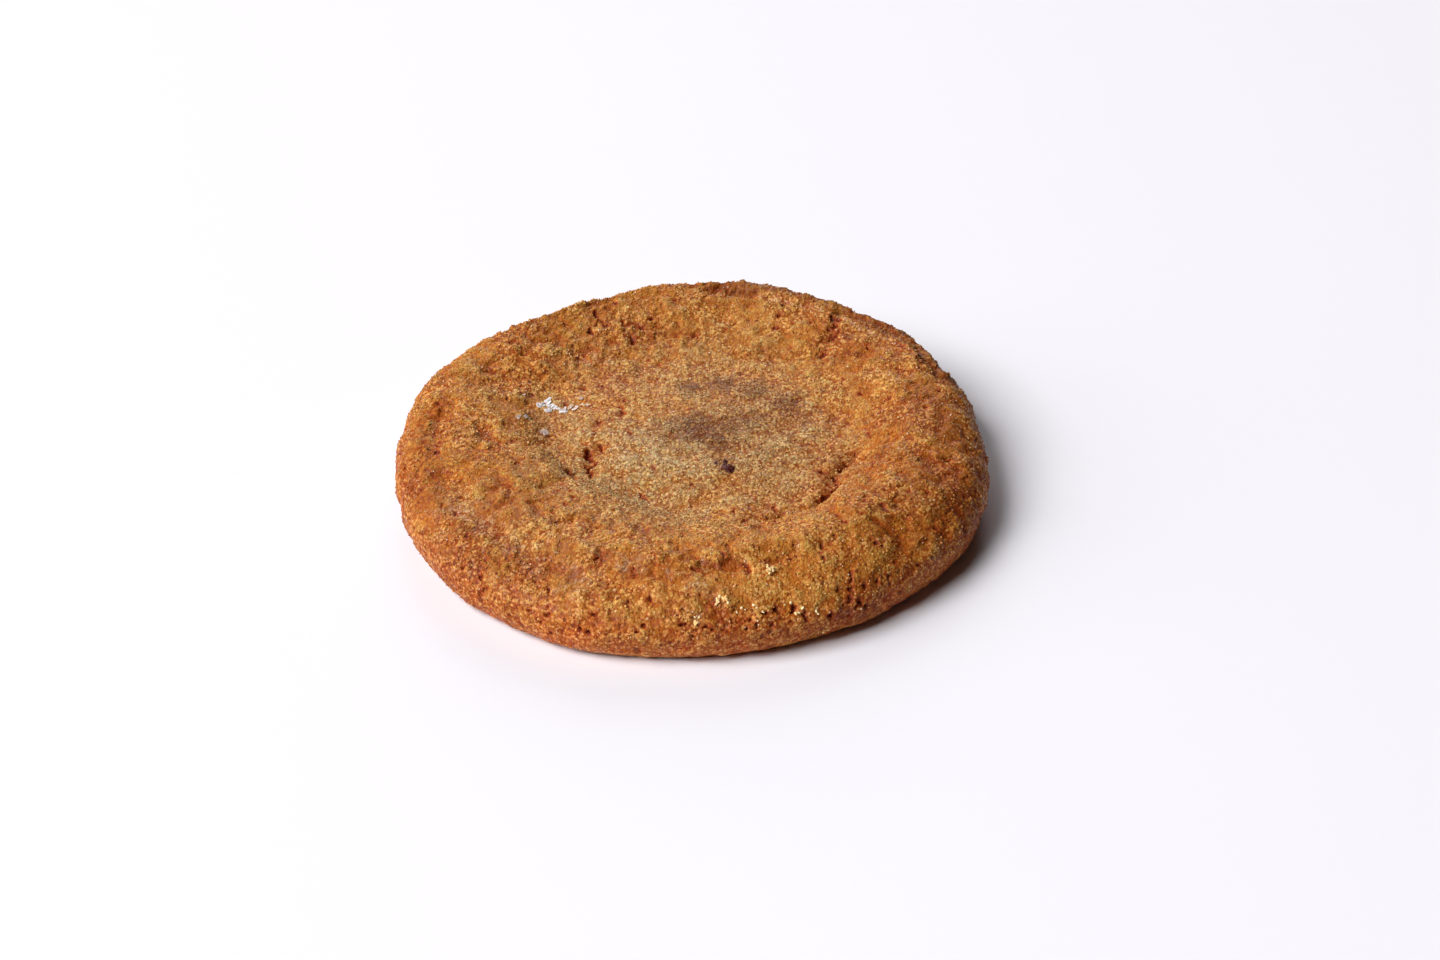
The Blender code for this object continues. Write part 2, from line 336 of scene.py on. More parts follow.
# %% Press in the large relief
CREASES = {
    "ring_fold": (1.3, 0.9, ((27.0, -3.0), (25.4, -5.6), (23.8, -8.6), (23.2, -12.6), (21.4, -16.8))),
    "ring_foot": (1.4, 0.6, ((21.4, -16.8), (16.4, -20.8), (12.4, -22.8), (7.6, -24.8))),
    "front_crease": (1.4, 0.6, ((1.0, -40.2), (6.0, -39.6), (11.0, -37.4), (16.0, -36.2), (21.0, -34.2))),
    "front_split": (1.0, 0.3, ((23.6, -39.6), (24.2, -41.4), (24.4, -43.0))),
    "left_fold": (1.4, 0.7, ((-40.6, 5.8), (-42.8, 3.4), (-43.2, -2.0), (-42.4, -6.4))),
    "left_groove": (2.6, 0.5, ((-41.0, -14.0), (-37.0, -22.0), (-30.6, -29.4), (-24.4, -35.4), (-18, -41))),
    "middle_crack": (1.2, 0.5, ((-15.4, -1.0), (-17.2, -3.6), (-16.9, -7.2), (-19.8, -9.2))),
    "middle_foot": (1.3, 0.5, ((-19.8, -9.2), (-21.6, -13.4), (-24.0, -16.4))),
    "back_crack": (1.2, 0.5, ((25.2, 34.5), (24.3, 31.0), (23.5, 28.6), (22.4, 25.6))),
    "back_fold": (0.9, 1.1, ((-0.5, 46.0), (5.7, 44.4), (12.0, 41.4), (19.6, 38.6), (25.8, 36.3))),
    "right_fold": (0.9, 1.0, ((25.8, 36.3), (30.4, 33.8), (34.2, 31.2), (38.8, 25.7), (42.7, 16.5))),
}
MOUNDS = (
    (7.8, -21.0, 4.0, 0.8), (2.6, -35.4, 3.4, 0.5), (9.8, -34.6, 3.6, 0.6), (18.4, -31.0, 4.5, 0.4),
    (26.2, -22.6, 4.0, 0.5), (-23.0, -12.6, 2.4, 0.4), (47.6, 14.6, 1.8, 0.5),
)
LUMPS = ((10.0 * MM, 0.6 * MM), (4.5 * MM, 0.35 * MM))
MIDDLE_LUMPS = 0.45
RING_STARTS = 22.0 * MM
RING_FULL = 34.0 * MM


def noise_at(places, size, shift=0.0):
    """Smooth noise from about -0.5 to 0.5, whose lumps are size across."""
    offset = Vector((shift * 1.7, shift * 0.9, shift * 1.3))
    return np.array([noise.noise(Vector(place) / size + offset) for place in places])


def distance_to_line(x, y, points):
    """Distance of each (x, y) from a line through the points, all in mm."""
    nearest = np.full_like(x, np.inf)
    for (x0, y0), (x1, y1) in zip(points, points[1:]):
        run_x, run_y = x1 - x0, y1 - y0
        t = np.clip(((x - x0) * run_x + (y - y0) * run_y) / (run_x**2 + run_y**2), 0, 1)
        nearest = np.minimum(nearest, np.hypot(x - x0 - t * run_x, y - y0 - t * run_y))
    return nearest


def large_relief(places):
    """How far the lumps, creases and mounds move each place out from the smooth cookie."""
    x, y = places[:, 0] / MM, places[:, 1] / MM
    ring = smoothstep(RING_STARTS, RING_FULL, np.hypot(places[:, 0], places[:, 1]))
    lumps = sum(height * noise_at(places, size) for size, height in LUMPS)
    moved = lumps * (MIDDLE_LUMPS + (1 - MIDDLE_LUMPS) * ring)
    for half_width, depth, points in CREASES.values():
        moved -= depth * MM * np.exp(-((distance_to_line(x, y, points) / half_width) ** 2))
    for mound_x, mound_y, mound_radius, mound_height in MOUNDS:
        away = np.hypot(x - mound_x, y - mound_y)
        moved += mound_height * MM * np.exp(-((away / mound_radius) ** 2))
    return moved


def press(bm, depth_of, foot):
    """Pushes the points out, but less and less below the height called foot, to keep the base flat."""
    push_out(bm, lambda places: depth_of(places) * smoothstep(0.0, foot, places[:, 2]))


press(crust, large_relief, foot=2.0 * MM)
print("large relief pressed in")

# %% [markdown]
# ## Find the crust from the camera
# Salt, crumbs and pits belong to the crust, wherever it lies. A tree of its faces tells fast which point of
# the crust the camera sees at a place in the picture. Rays against a tree are better here than heights
# worked out by hand, because the edge is too steep for a plan.

# %% Cast rays at the crust
PICTURE_WIDE = 1440
PICTURE_HIGH = 960
crust_tree = BVHTree.FromBMesh(crust)


def seen_at(across, down):
    """The crust's point and outward direction that the camera sees at that place in the picture."""
    lens = camera_data.lens / camera_data.sensor_width * PICTURE_WIDE
    aside, above = across - PICTURE_WIDE / 2, PICTURE_HIGH / 2 - down
    way = camera.rotation_euler.to_matrix() @ Vector((aside, above, -lens))
    point, normal, _, _ = crust_tree.ray_cast(camera.location, way.normalized())
    return point, normal


print("the picture's middle shows", [round(value / MM, 1) for value in seen_at(720, 480)[0]])

# %% [markdown]
# ## Cracks and pits that show
# A drying crust splits, and steam leaves it through pits. Those that catch the eye are placed one by one,
# by where the camera saw them, and a ray finds the crust under each. Noise bends their courses, so that
# they look torn. The grid is subdivided round them only, which draws a crack 0.3 mm wide sharply and costs
# few faces.

# %% Place the cracks and pits that show
# Half width in mm, then the courses of the cracks of that width as places across and down the picture
CRACKS = {
    0.12: (
        ((583, 442), (588, 448)), ((827, 510), (832, 508)), ((684, 533), (681, 538)),
        ((506, 395), (509, 400)), ((828, 346), (826, 352), (823, 355)), ((862, 363), (860, 368)),
        ((881, 403), (885, 401), (890, 398)),
    ),
    0.13: (
        ((571, 499), (574, 496)),
    ),
    0.14: (
        ((563, 480), (563, 484)), ((553, 493), (558, 490)), ((607, 442), (606, 447)),
        ((653, 465), (654, 470)), ((611, 487), (615, 490)), ((833, 464), (836, 467)),
        ((836, 513), (838, 516)), ((857, 511), (859, 515), (863, 513)), ((505, 390), (514, 389)),
        ((623, 332), (625, 336)), ((649, 335), (650, 339)), ((677, 323), (680, 326)),
        ((843, 378), (842, 384)), ((857, 395), (862, 394)),
        ((908, 349), (914, 355), (919, 360), (928, 367)), ((430, 413), (433, 415)),
        ((438, 402), (438, 409)), ((485, 430), (485, 437)),
    ),
    0.15: (
        ((584, 467), (589, 466)), ((626, 428), (629, 433), (631, 435)),
        ((867, 432), (869, 434), (871, 437)), ((754, 544), (754, 548)), ((819, 553), (822, 550)),
        ((568, 340), (567, 344)), ((516, 607), (519, 605)),
    ),
    0.16: (
        ((624, 398), (624, 402)), ((598, 419), (599, 424), (594, 426)), ((733, 508), (735, 513)),
        ((513, 339), (517, 341), (518, 346)), ((564, 322), (565, 326)),
    ),
    0.18: (
        ((774, 504), (775, 512)), ((586, 351), (585, 355)), ((623, 320), (624, 325)),
        ((713, 304), (716, 306)), ((779, 314), (777, 320)), ((434, 431), (435, 437)),
        ((427, 470), (433, 474), (435, 477)), ((471, 595), (471, 599)),
    ),
    0.20: (
        ((583, 477), (584, 482)), ((564, 403), (565, 407)), ((594, 430), (595, 433), (593, 436)),
        ((600, 446), (601, 450), (603, 453)), ((841, 519), (844, 522), (849, 522)),
        ((655, 553), (654, 558)), ((628, 600), (628, 608)), ((759, 562), (764, 560)),
        ((438, 421), (440, 418), (448, 415)),
    ),
    0.22: (
        ((598, 386), (601, 384), (604, 387)), ((649, 594), (651, 600)), ((723, 557), (725, 561)),
        ((693, 569), (700, 570), (706, 573)),
    ),
    0.24: (
        ((641, 494), (642, 497), (644, 499)), ((823, 481), (827, 484), (830, 486)),
        ((746, 520), (744, 525)), ((721, 551), (725, 554)), ((763, 615), (767, 612)),
        ((590, 327), (591, 333)), ((775, 328), (778, 327)), ((467, 534), (465, 538)),
        ((480, 576), (480, 580)), ((906, 516), (910, 515)),
    ),
    0.25: (
        ((757, 523), (765, 523), (772, 522), (777, 520)),
    ),
    0.26: (
        ((820, 470), (824, 473), (828, 475)), ((633, 567), (633, 573), (632, 577)),
        ((657, 365), (661, 366)), ((868, 344), (867, 348)), ((896, 343), (903, 346), (908, 349)),
        ((461, 567), (465, 566)), ((482, 591), (486, 589)),
    ),
    0.28: (
        ((846, 464), (845, 467), (842, 470), (839, 471)), ((882, 503), (884, 507), (889, 511)),
        ((777, 562), (786, 560), (791, 557)), ((776, 608), (779, 612)), ((805, 613), (807, 620)),
        ((612, 303), (617, 304)), ((649, 320), (653, 319)), ((850, 597), (851, 602)),
    ),
    0.30: (
        ((620, 407), (622, 411), (621, 416)), ((836, 323), (833, 329)),
        ((438, 443), (438, 449), (435, 455)), ((852, 572), (851, 582)), ((889, 572), (889, 582)),
    ),
    0.32: (
        ((835, 477), (836, 484)), ((705, 628), (713, 630)), ((595, 311), (597, 318)),
        ((632, 335), (633, 344)), ((820, 358), (824, 356)), ((455, 514), (456, 511)),
        ((875, 544), (877, 541)),
    ),
    0.34: (
        ((597, 463), (592, 466), (589, 469), (591, 472), (590, 477)), ((597, 560), (599, 556), (604, 553)),
        ((743, 564), (748, 570)), ((795, 607), (793, 611)), ((602, 321), (606, 324)),
        ((640, 327), (643, 329)), ((850, 588), (853, 591)), ((860, 599), (862, 604)),
    ),
    0.36: (
        ((569, 470), (571, 476), (575, 479)),
    ),
    0.42: (
        ((832, 318), (838, 320)),
    ),
    0.44: (
        ((837, 332), (835, 337), (829, 340)),
    ),
    0.48: (
        ((589, 451), (588, 457), (592, 461)),
    ),
    0.50: (
        ((837, 487), (833, 491), (829, 495), (824, 499), (821, 501)),
    ),
}
# Radius in mm, then the pits of that radius as places across and down the picture
PITS = {
    0.16: (
        (476, 401), (753, 304), (736, 312), (805, 370), (813, 359), (817, 459), (851, 479), (622, 477),
        (945, 447), (936, 459), (444, 468), (475, 467), (542, 500), (535, 514), (524, 562), (548, 606),
        (534, 613), (873, 392), (617, 573), (566, 486), (693, 605), (672, 600), (700, 594), (812, 571),
    ),
    0.22: (
        (850, 458), (855, 454), (840, 477), (812, 463), (794, 506), (796, 514), (575, 465), (653, 618),
        (644, 626), (608, 603), (607, 596), (795, 555), (795, 545), (778, 622), (791, 622), (554, 333),
        (557, 336), (533, 394), (690, 339), (649, 360), (677, 376), (800, 374), (790, 348), (724, 329),
        (792, 323), (783, 306), (922, 381), (447, 472), (504, 464), (417, 486), (422, 489), (530, 561),
        (510, 586), (514, 591), (450, 525), (585, 513), (583, 527), (586, 531), (952, 446), (940, 453),
        (905, 498), (946, 495), (962, 492), (968, 477), (963, 524), (872, 538), (883, 546), (899, 547),
        (914, 584), (757, 626), (796, 636), (773, 581), (523, 580), (622, 613), (616, 624), (667, 611),
    ),
    0.28: (
        (565, 504), (612, 420), (583, 388), (562, 345), (581, 314), (829, 329), (592, 595), (608, 583),
        (590, 567), (637, 632), (588, 634), (739, 530), (732, 533), (713, 566), (829, 545), (824, 558),
        (845, 557), (750, 620), (731, 620), (693, 618), (736, 630), (835, 388), (899, 370), (926, 407),
        (940, 390), (504, 424), (415, 466), (438, 517), (442, 505), (494, 528), (444, 566), (510, 556),
        (527, 572), (497, 589), (486, 559), (549, 590), (528, 611), (550, 634), (551, 521), (509, 615),
        (928, 462), (922, 475), (886, 489), (909, 491), (899, 506), (977, 492), (930, 529), (953, 548),
        (919, 565), (843, 606), (849, 617), (839, 590), (835, 537), (822, 547), (460, 391), (578, 630),
    ),
    0.38: (
        (593, 614), (684, 625), (747, 630), (832, 615), (948, 460), (937, 526), (866, 586), (878, 581),
        (694, 335), (539, 622), (547, 615), (928, 492), (409, 492), (405, 468), (692, 638), (866, 605),
    ),
}
MARK_BEND = 0.22 * MM
MARK_BEND_SIZE = 0.8 * MM
MARK_BREAK_SIZE = 1.3 * MM
SHALLOWEST_MARK = 0.28
# The grid is halved once within 0.3 mm of a mark, and once more inside it
HALVED_WITHIN = (0.3, 0.0)
FAR_AWAY = 9.0


def bent(places, reach, size, shift):
    """The places moved up to reach by noise, which makes whatever is measured from them ragged."""
    moves = [noise_at(places, size, shift + step) for step in (0.0, 6.0, 12.0)]
    return places + 2 * reach * np.stack(moves, axis=1)


def away_from(places, course):
    """Distance of each place from a course through points in space, or from a single point."""
    nearest = np.linalg.norm(places - course[0], axis=1)
    for start, end in zip(course, course[1:]):
        run = end - start
        share = np.clip((places - start) @ run / (run @ run), 0, 1)
        nearest = np.minimum(nearest, np.linalg.norm(places - start - share[:, None] * run, axis=1))
    return nearest


def seen_course(course):
    """The crust's points, in mm, that the camera sees along a course in the picture."""
    return [np.array(point) / MM for point, _ in (seen_at(*place) for place in course) if point]


marks = [(half_width, seen_course(course)) for half_width, courses in CRACKS.items() for course in courses]
marks += [(pit_radius, seen_course([place])) for pit_radius, pits in PITS.items() for place in pits]
marks = [mark for mark in marks if mark[1]]


def placed_hollows(places):
    """How far in mm each place is outside the nearest placed crack or pit, and how deep in mm that one is.
    The wider one is, the deeper. Noise narrows and widens it along its course."""
    ragged = bent(places, MARK_BEND, MARK_BEND_SIZE, 3.0) / MM
    breaks = np.clip(1.0 + 1.2 * noise_at(places, MARK_BREAK_SIZE, 11.0), 0.55, 1.35)
    nearest = np.full(len(places), FAR_AWAY)
    depth = np.zeros(len(places))
    for half_width, course in marks:
        away = away_from(ragged, course) - half_width * breaks
        depth = np.where(away < nearest, SHALLOWEST_MARK + half_width, depth)
        nearest = np.minimum(nearest, away)
    return nearest, depth


# %% Subdivide the grid round them
for reach in HALVED_WITHIN:
    close = placed_hollows(places_of(crust))[0] < reach
    crust.verts.index_update()
    near_edges = [edge for edge in crust.edges if all(close[vert.index] for vert in edge.verts)]
    bmesh.ops.subdivide_edges(crust, edges=near_edges, cuts=1, use_grid_fill=True)
print(len(marks), "cracks and pits on a crust of", len(crust.verts), "points")

# %% [markdown]
# ## Wrinkles and clods
# The ring didn't slide down smoothly. It crumpled into clods of a few millimetres with clefts between them,
# which the material darkens to rust-brown as painted shade. The deepest clefts are placed one by one. The
# rest are the borders of a Voronoi pattern, bent by noise so that they don't look like tiles, and laid in
# patches so that smooth crust is left between them.

# %% Wrinkle the ring and break it into clods
# (half width, depth, points), all in mm
WRINKLES = (
    (0.8, 0.5, ((11.0, -22.2), (12.8, -22.6), (14.6, -21.4))),
    (0.5, 0.4, ((10.0, -26.0), (12.1, -27.4), (13.7, -26.9))),
    (0.4, 0.4, ((20.6, -25.5), (22.3, -25.1), (24.0, -25.0))),
    (0.9, 0.5, ((4.8, -34.0), (5.6, -36.7), (6.3, -38.6))),
    (0.9, 0.5, ((-0.6, -36.6), (0.2, -38.2), (2.5, -40.1), (6.0, -39.4))),
    (0.8, 0.5, ((6.4, -38.7), (7.8, -39.1), (9.3, -39.6))),
    (0.7, 0.5, ((12.0, -38.0), (14.7, -36.9), (17.6, -35.6))),
    (0.7, 0.5, ((-15.2, -38.4), (-14.2, -37.5), (-13.3, -36.0))),
    (0.4, 0.4, ((-6.2, -38.4), (-5.7, -36.0))),
    (0.8, 0.4, ((-10.4, -41.0), (-8.6, -40.6), (-6.0, -41.6), (-3.4, -41.0))),
    (0.6, 0.4, ((29.0, -27.0), (31.0, -28.6), (33.6, -28.2))),
    (0.8, 0.4, ((35.0, -22.0), (38.4, -24.0), (41.2, -23.0))),
    (0.8, 0.4, ((33.6, -14.0), (37.2, -16.4), (41.0, -15.2))),
    (0.8, 0.4, ((-32.0, -14.6), (-29.6, -18.0), (-29.8, -21.4))),
    (0.8, 0.4, ((-26.0, -22.4), (-23.4, -25.0), (-19.4, -26.4))),
    (0.8, 0.4, ((-36.0, 2.0), (-34.6, -2.6), (-36.0, -6.0))),
    (0.7, 0.4, ((-30.0, 24.0), (-27.0, 27.6), (-23.4, 29.0))),
    (0.4, 0.3, CREASES["back_fold"][2]),
    (0.4, 0.3, CREASES["right_fold"][2]),
)
CLOD_SPACING = 3.3 * MM
CLOD_GAP = 0.13
# Heights and depths in mm
CLOD_HEIGHTS = 0.42
GAP_DEPTH = 0.30


def nearest_cells(places, spacing, shift):
    """How far the two nearest points of a Voronoi pattern are from each place, in spacings, and a random
    number from 0 to 1 that belongs to the nearest."""
    offset = Vector((shift, shift * 0.7, shift * 1.9))
    first, second, label = [], [], []
    for place in places:
        away, (point, *_) = noise.voronoi(Vector(place) / spacing + offset)
        first.append(away[0])
        second.append(away[1])
        label.append((math.sin(point.x * 12.9 + point.y * 78.2 + point.z * 37.7) * 43758.5) % 1.0)
    return np.array(first), np.array(second), np.array(label)


def clefts_and_clods(places):
    """How much of a cleft each place is, from 0 to 1, and how far in mm it is moved."""
    ragged = bent(places, 0.9 * MM, 1.8 * MM, 50.0) / MM
    cleft = np.zeros(len(places))
    move = np.zeros(len(places))
    for half_width, depth, points in WRINKLES:
        share = np.exp(-((distance_to_line(ragged[:, 0], ragged[:, 1], points) / half_width) ** 2))
        cleft = np.maximum(cleft, share)
        move = np.minimum(move, -depth * share)
    first, second, label = nearest_cells(bent(places, 1.1 * MM, 2.4 * MM, 40.0), CLOD_SPACING, 27.0)
    gap = np.exp(-(((second - first) / CLOD_GAP) ** 2))
    ring = smoothstep(RING_STARTS, RING_FULL, np.hypot(places[:, 0], places[:, 1]))
    clumpy = smoothstep(-0.05, 0.25, noise_at(places, 8.0 * MM, 33.0)) * (0.15 + 0.85 * ring)
    cleft = np.maximum(cleft, gap * clumpy)
    move += clumpy * (CLOD_HEIGHTS * (label - 0.5) * (1 - gap) - GAP_DEPTH * gap)
    return cleft, move * smoothstep(3.0 * MM, 9.0 * MM, places[:, 2])


cleft, cleft_move = clefts_and_clods(places_of(crust))
press(crust, lambda places: cleft_move * MM, foot=1.5 * MM)
print("clefts cover", round(float((cleft > 0.5).mean()), 3), "of the crust")

# %% [markdown]
# ## Pores and grains
# Smaller pores are too many to place. They are scattered through the cells of a Voronoi pattern, a few in
# the middle and many on the edge, and the crust between them is broken into grains of one to three
# millimetres.

# %% Scatter the pores and break the crust into grains
PORE_SPACING = 1.8 * MM
GRAIN_SPACING = 1.7 * MM
VALLEY_WIDTH = 0.14


def scattered_pores(places, share):
    """How far in mm each place is outside the nearest scattered pore, and how deep in mm that one is."""
    near, _, label = nearest_cells(bent(places, 0.35 * MM, 0.9 * MM, 23.0), PORE_SPACING, 4.0)
    wide = 0.08 + 0.30 * ((label * 7.31) % 1.0) ** 2
    deep = 0.35 + 0.35 * ((label * 3.17) % 1.0)
    return np.where(label < share, near * PORE_SPACING / MM - wide, FAR_AWAY), deep


def grain_valleys(places):
    """How much of a narrow valley between the crust's grains each place is, from 0 to 1."""
    first, second, _ = nearest_cells(places, GRAIN_SPACING, 9.0)
    return np.exp(-(((second - first) / VALLEY_WIDTH) ** 2))


crust_places = places_of(crust)
from_middle = np.hypot(crust_places[:, 0], crust_places[:, 1])
on_ring = smoothstep(RING_STARTS, RING_FULL, from_middle)
on_edge = 1 - smoothstep(6.5 * MM, 10.0 * MM, crust_places[:, 2])
on_edge *= smoothstep(40 * MM, 46 * MM, from_middle)

placed_away, placed_depth = placed_hollows(crust_places)
pore_away, pore_depth = scattered_pores(crust_places, 0.04 + 0.08 * on_ring + 0.36 * on_edge)
placed_hole = placed_depth * (1 - smoothstep(-0.30, 0.20, placed_away))
pore_hole = pore_depth * (1 - smoothstep(-0.30, 0.25, pore_away))
patchy = smoothstep(-0.15, 0.25, noise_at(crust_places, 7.0 * MM, 5.0))
valleys = grain_valleys(crust_places) * (0.25 + 0.75 * on_ring) * (0.35 + 0.65 * patchy)
puffs = noise_at(crust_places, 2.4 * MM, 13.0)
crumbs = noise_at(crust_places, 1.1 * MM, 17.0)
sand = noise_at(crust_places, 0.75 * MM, 19.0)
soft_grain = 0.36 * puffs + 0.22 * crumbs + 0.10 * sand
fine_move = soft_grain * (0.60 + 0.40 * on_ring - 0.40 * on_edge) - placed_hole - pore_hole - 0.07 * valleys
press(crust, lambda places: fine_move * MM, foot=0.8 * MM)
print("deepest crack", round(placed_hole.max(), 2), "mm; deepest pore", round(pore_hole.max(), 2), "mm")

# %% [markdown]
# ## Keep the shares that the colour needs
# Baking colours a cookie by place: pale where it stayed wet, golden on the ring, rust where it touched the
# hot tray. Light and shade are painted in too: painted shade inside the holes, in the clefts and low places,
# on slopes turned from the light and behind the fold, and painted sheen and glints where slopes mirror the
# window. Each of these is kept as one number for each point of the crust, and the material turns the numbers
# into colour.

# %% Work out where the crust is pale, rusty, stained or hollow, and where light and shade are painted
# (x, y, radius, strength) in mm of the places that stayed pale
PALE_PATCHES = (
    (-7.0, -6.0, 18.0, 1.0), (12.0, -4.0, 14.0, 0.8), (4.0, 14.0, 20.0, 0.5), (-20.0, 12.0, 12.0, 0.4),
)
# The same for places painted lighter and more golden, as painted light on slopes that face away from the
# window
PAINTED_LIGHT_PATCHES = (
    (15.0, -41.0, 8.0, 0.75), (-9.0, -46.0, 5.0, 0.6), (-27.0, 19.0, 9.0, 0.8), (-33.0, -3.0, 10.0, 0.55),
)
# The same for places that baked browner, and for slopes darkened as painted shade where they face away from
# the light
TOASTED_AND_SHADED_PATCHES = (
    (44.0, -14.0, 12.0, 0.7), (30.0, -7.0, 7.0, 0.55), (36.0, -30.0, 12.0, 0.2), (28.0, -43.0, 6.0, 0.4),
    (-13.0, 21.0, 5.0, 0.5), (41.0, 5.0, 10.0, 0.75), (29.0, 27.0, 9.0, 0.5), (-50.0, 0.0, 8.0, 0.6),
    (-48.0, 16.0, 7.0, 0.5), (-46.0, -16.0, 9.0, 0.7), (-38.0, -30.0, 9.0, 0.8), (-28.0, -40.0, 7.0, 0.5),
)
# Chocolate that soaked into the dough
STAIN_PATCHES = (
    (0.6, 2.6, 5.6, 0.9), (4.6, 0.2, 4.6, 0.8), (7.4, 5.4, 5.0, 0.7), (12.6, 6.6, 4.6, 0.5),
    (-2.6, 5.4, 3.6, 0.6), (-0.5, 17.4, 2.6, 0.8), (4.7, 17.6, 2.8, 0.85), (10.6, 15.6, 3.4, 0.8),
    (15.6, 12.2, 3.4, 0.7), (5.6, -6.6, 2.4, 0.5),
)
# Dark red specks of caramelised sugar, as places in the picture, then radius in mm and strength
SPECKS = (
    (849, 339, 0.8, 0.7), (846, 336, 0.5, 0.8), (856, 354, 0.8, 0.9), (848, 352, 0.6, 0.6),
    (835, 320, 0.6, 0.8), (832, 330, 0.6, 0.8), (831, 337, 0.7, 0.9), (821, 357, 0.7, 0.9),
    (822, 390, 0.55, 1.0), (868, 372, 0.9, 0.4), (714, 383, 0.6, 0.9), (734, 378, 0.9, 0.4),
    (695, 335, 0.8, 0.7), (780, 316, 0.6, 0.5), (902, 399, 0.5, 1.0), (899, 418, 0.6, 1.0),
    (885, 421, 0.4, 1.0), (905, 430, 0.5, 1.0), (643, 497, 0.5, 0.8), (600, 385, 0.8, 0.6),
    (584, 388, 0.8, 0.5), (565, 405, 0.5, 0.7), (505, 425, 0.5, 1.0), (565, 505, 0.45, 0.9),
    (589, 457, 0.7, 0.8), (588, 474, 0.6, 0.7), (571, 473, 0.6, 0.8), (621, 412, 0.5, 0.8),
    (601, 556, 0.8, 0.6), (633, 571, 0.6, 0.8), (824, 557, 0.7, 0.6),
)
# Where a pale sheen is painted on the crust, as painted highlights on slopes that mirror the window towards
# the camera
SHEEN_PATCHES = (
    (-37.1, -22.1, 3.4, 0.9), (-33.0, -26.6, 2.6, 0.6), (-28.6, -30.6, 3.0, 0.9), (-23.9, -35.6, 3.0, 0.9),
    (-17.9, -41.2, 3.0, 0.8), (-10.0, -38.3, 2.2, 1.0), (-14.4, -36.4, 1.6, 0.6), (1.4, -43.7, 2.6, 0.7),
    (-24.0, 6.0, 4.0, 0.4), (-20.0, 24.0, 4.0, 0.4),
)
# Painted glints: spots whitened as painted highlights of sugar and salt, as places in the picture, then
# radius in mm and strength
GLINT_SPOTS = (
    (627, 560, 0.7, 1.0), (577, 581, 0.6, 0.9), (612, 531, 0.6, 0.7), (592, 353, 0.9, 0.5),
    (610, 362, 0.8, 0.5), (484, 523, 0.8, 0.6), (508, 536, 1.0, 0.7), (516, 541, 0.7, 0.9),
    (668, 571, 0.7, 0.7), (704, 568, 0.6, 0.8), (718, 566, 0.7, 0.7), (888, 511, 0.5, 0.8),
    (884, 518, 0.5, 0.7), (915, 494, 0.7, 0.6), (932, 469, 0.5, 0.8), (628, 402, 0.7, 0.6),
    (686, 590, 0.8, 0.6), (433, 472, 0.7, 0.6), (487, 432, 0.7, 0.6), (498, 432, 0.6, 0.5),
    (696, 617, 0.7, 0.8),
)
# The lip of the fold behind the ring, as a course in the picture, carries a painted sheen line.
# The crust outside it is painted darker as shade, where it slopes away from the light.
FOLD_LIP = (
    (697, 289), (720, 294), (760, 297), (790, 303), (820, 310), (845, 318), (862, 330), (880, 337),
    (898, 343), (908, 350), (919, 360), (930, 369), (940, 384),
)
LIP_HALF_WIDTH = 0.35


def seen_patches(places, spots):
    """Share of each place that lies in one of the ragged spots, which are placed in the picture."""
    ragged = bent(places, 0.4 * MM, 0.7 * MM, 70.0) / MM
    total = np.zeros(len(places))
    for across, down, spot_radius, strength in spots:
        away = away_from(ragged, seen_course([(across, down)])) / spot_radius
        total = np.maximum(total, strength * np.exp(-(away**4)))
    return total


def patches(places, spots, ragged=0.35, ragged_size=5.0 * MM):
    """Share of each place that lies in one of the soft-edged round spots, with an uneven edge."""
    x, y = places[:, 0] / MM, places[:, 1] / MM
    uneven = 1 + ragged * 2 * noise_at(places, ragged_size, 21.0)
    total = np.zeros(len(places))
    for spot_x, spot_y, spot_radius, strength in spots:
        away = np.hypot(x - spot_x, y - spot_y) / (spot_radius * uneven)
        total = np.maximum(total, strength * np.exp(-(away**2)))
    return np.clip(total, 0, 1)


pale = patches(crust_places, PALE_PATCHES, 0.25)
painted_light = patches(crust_places, PAINTED_LIGHT_PATCHES)
toasted_and_shaded = patches(crust_places, TOASTED_AND_SHADED_PATCHES)
stained_and_shaded = patches(crust_places, STAIN_PATCHES)
specked = seen_patches(crust_places, SPECKS)
glint_spots = seen_patches(crust_places, GLINT_SPOTS)
painted_sheen = np.maximum(0.7 * patches(crust_places, SHEEN_PATCHES, 0.6, 2.5 * MM), glint_spots)
lip_course = np.array(seen_course(FOLD_LIP))
# Painted sheen along the lip of the fold
lip_sheen = np.exp(-((away_from(crust_places / MM, lip_course) / LIP_HALF_WIDTH) ** 2))
painted_sheen = np.maximum(painted_sheen, 0.75 * lip_sheen)
lip_turn, lip_reach = np.arctan2(lip_course[:, 1], lip_course[:, 0])[::-1], np.hypot(*lip_course.T[:2])[::-1]
crust_turn = np.arctan2(crust_places[:, 1], crust_places[:, 0])
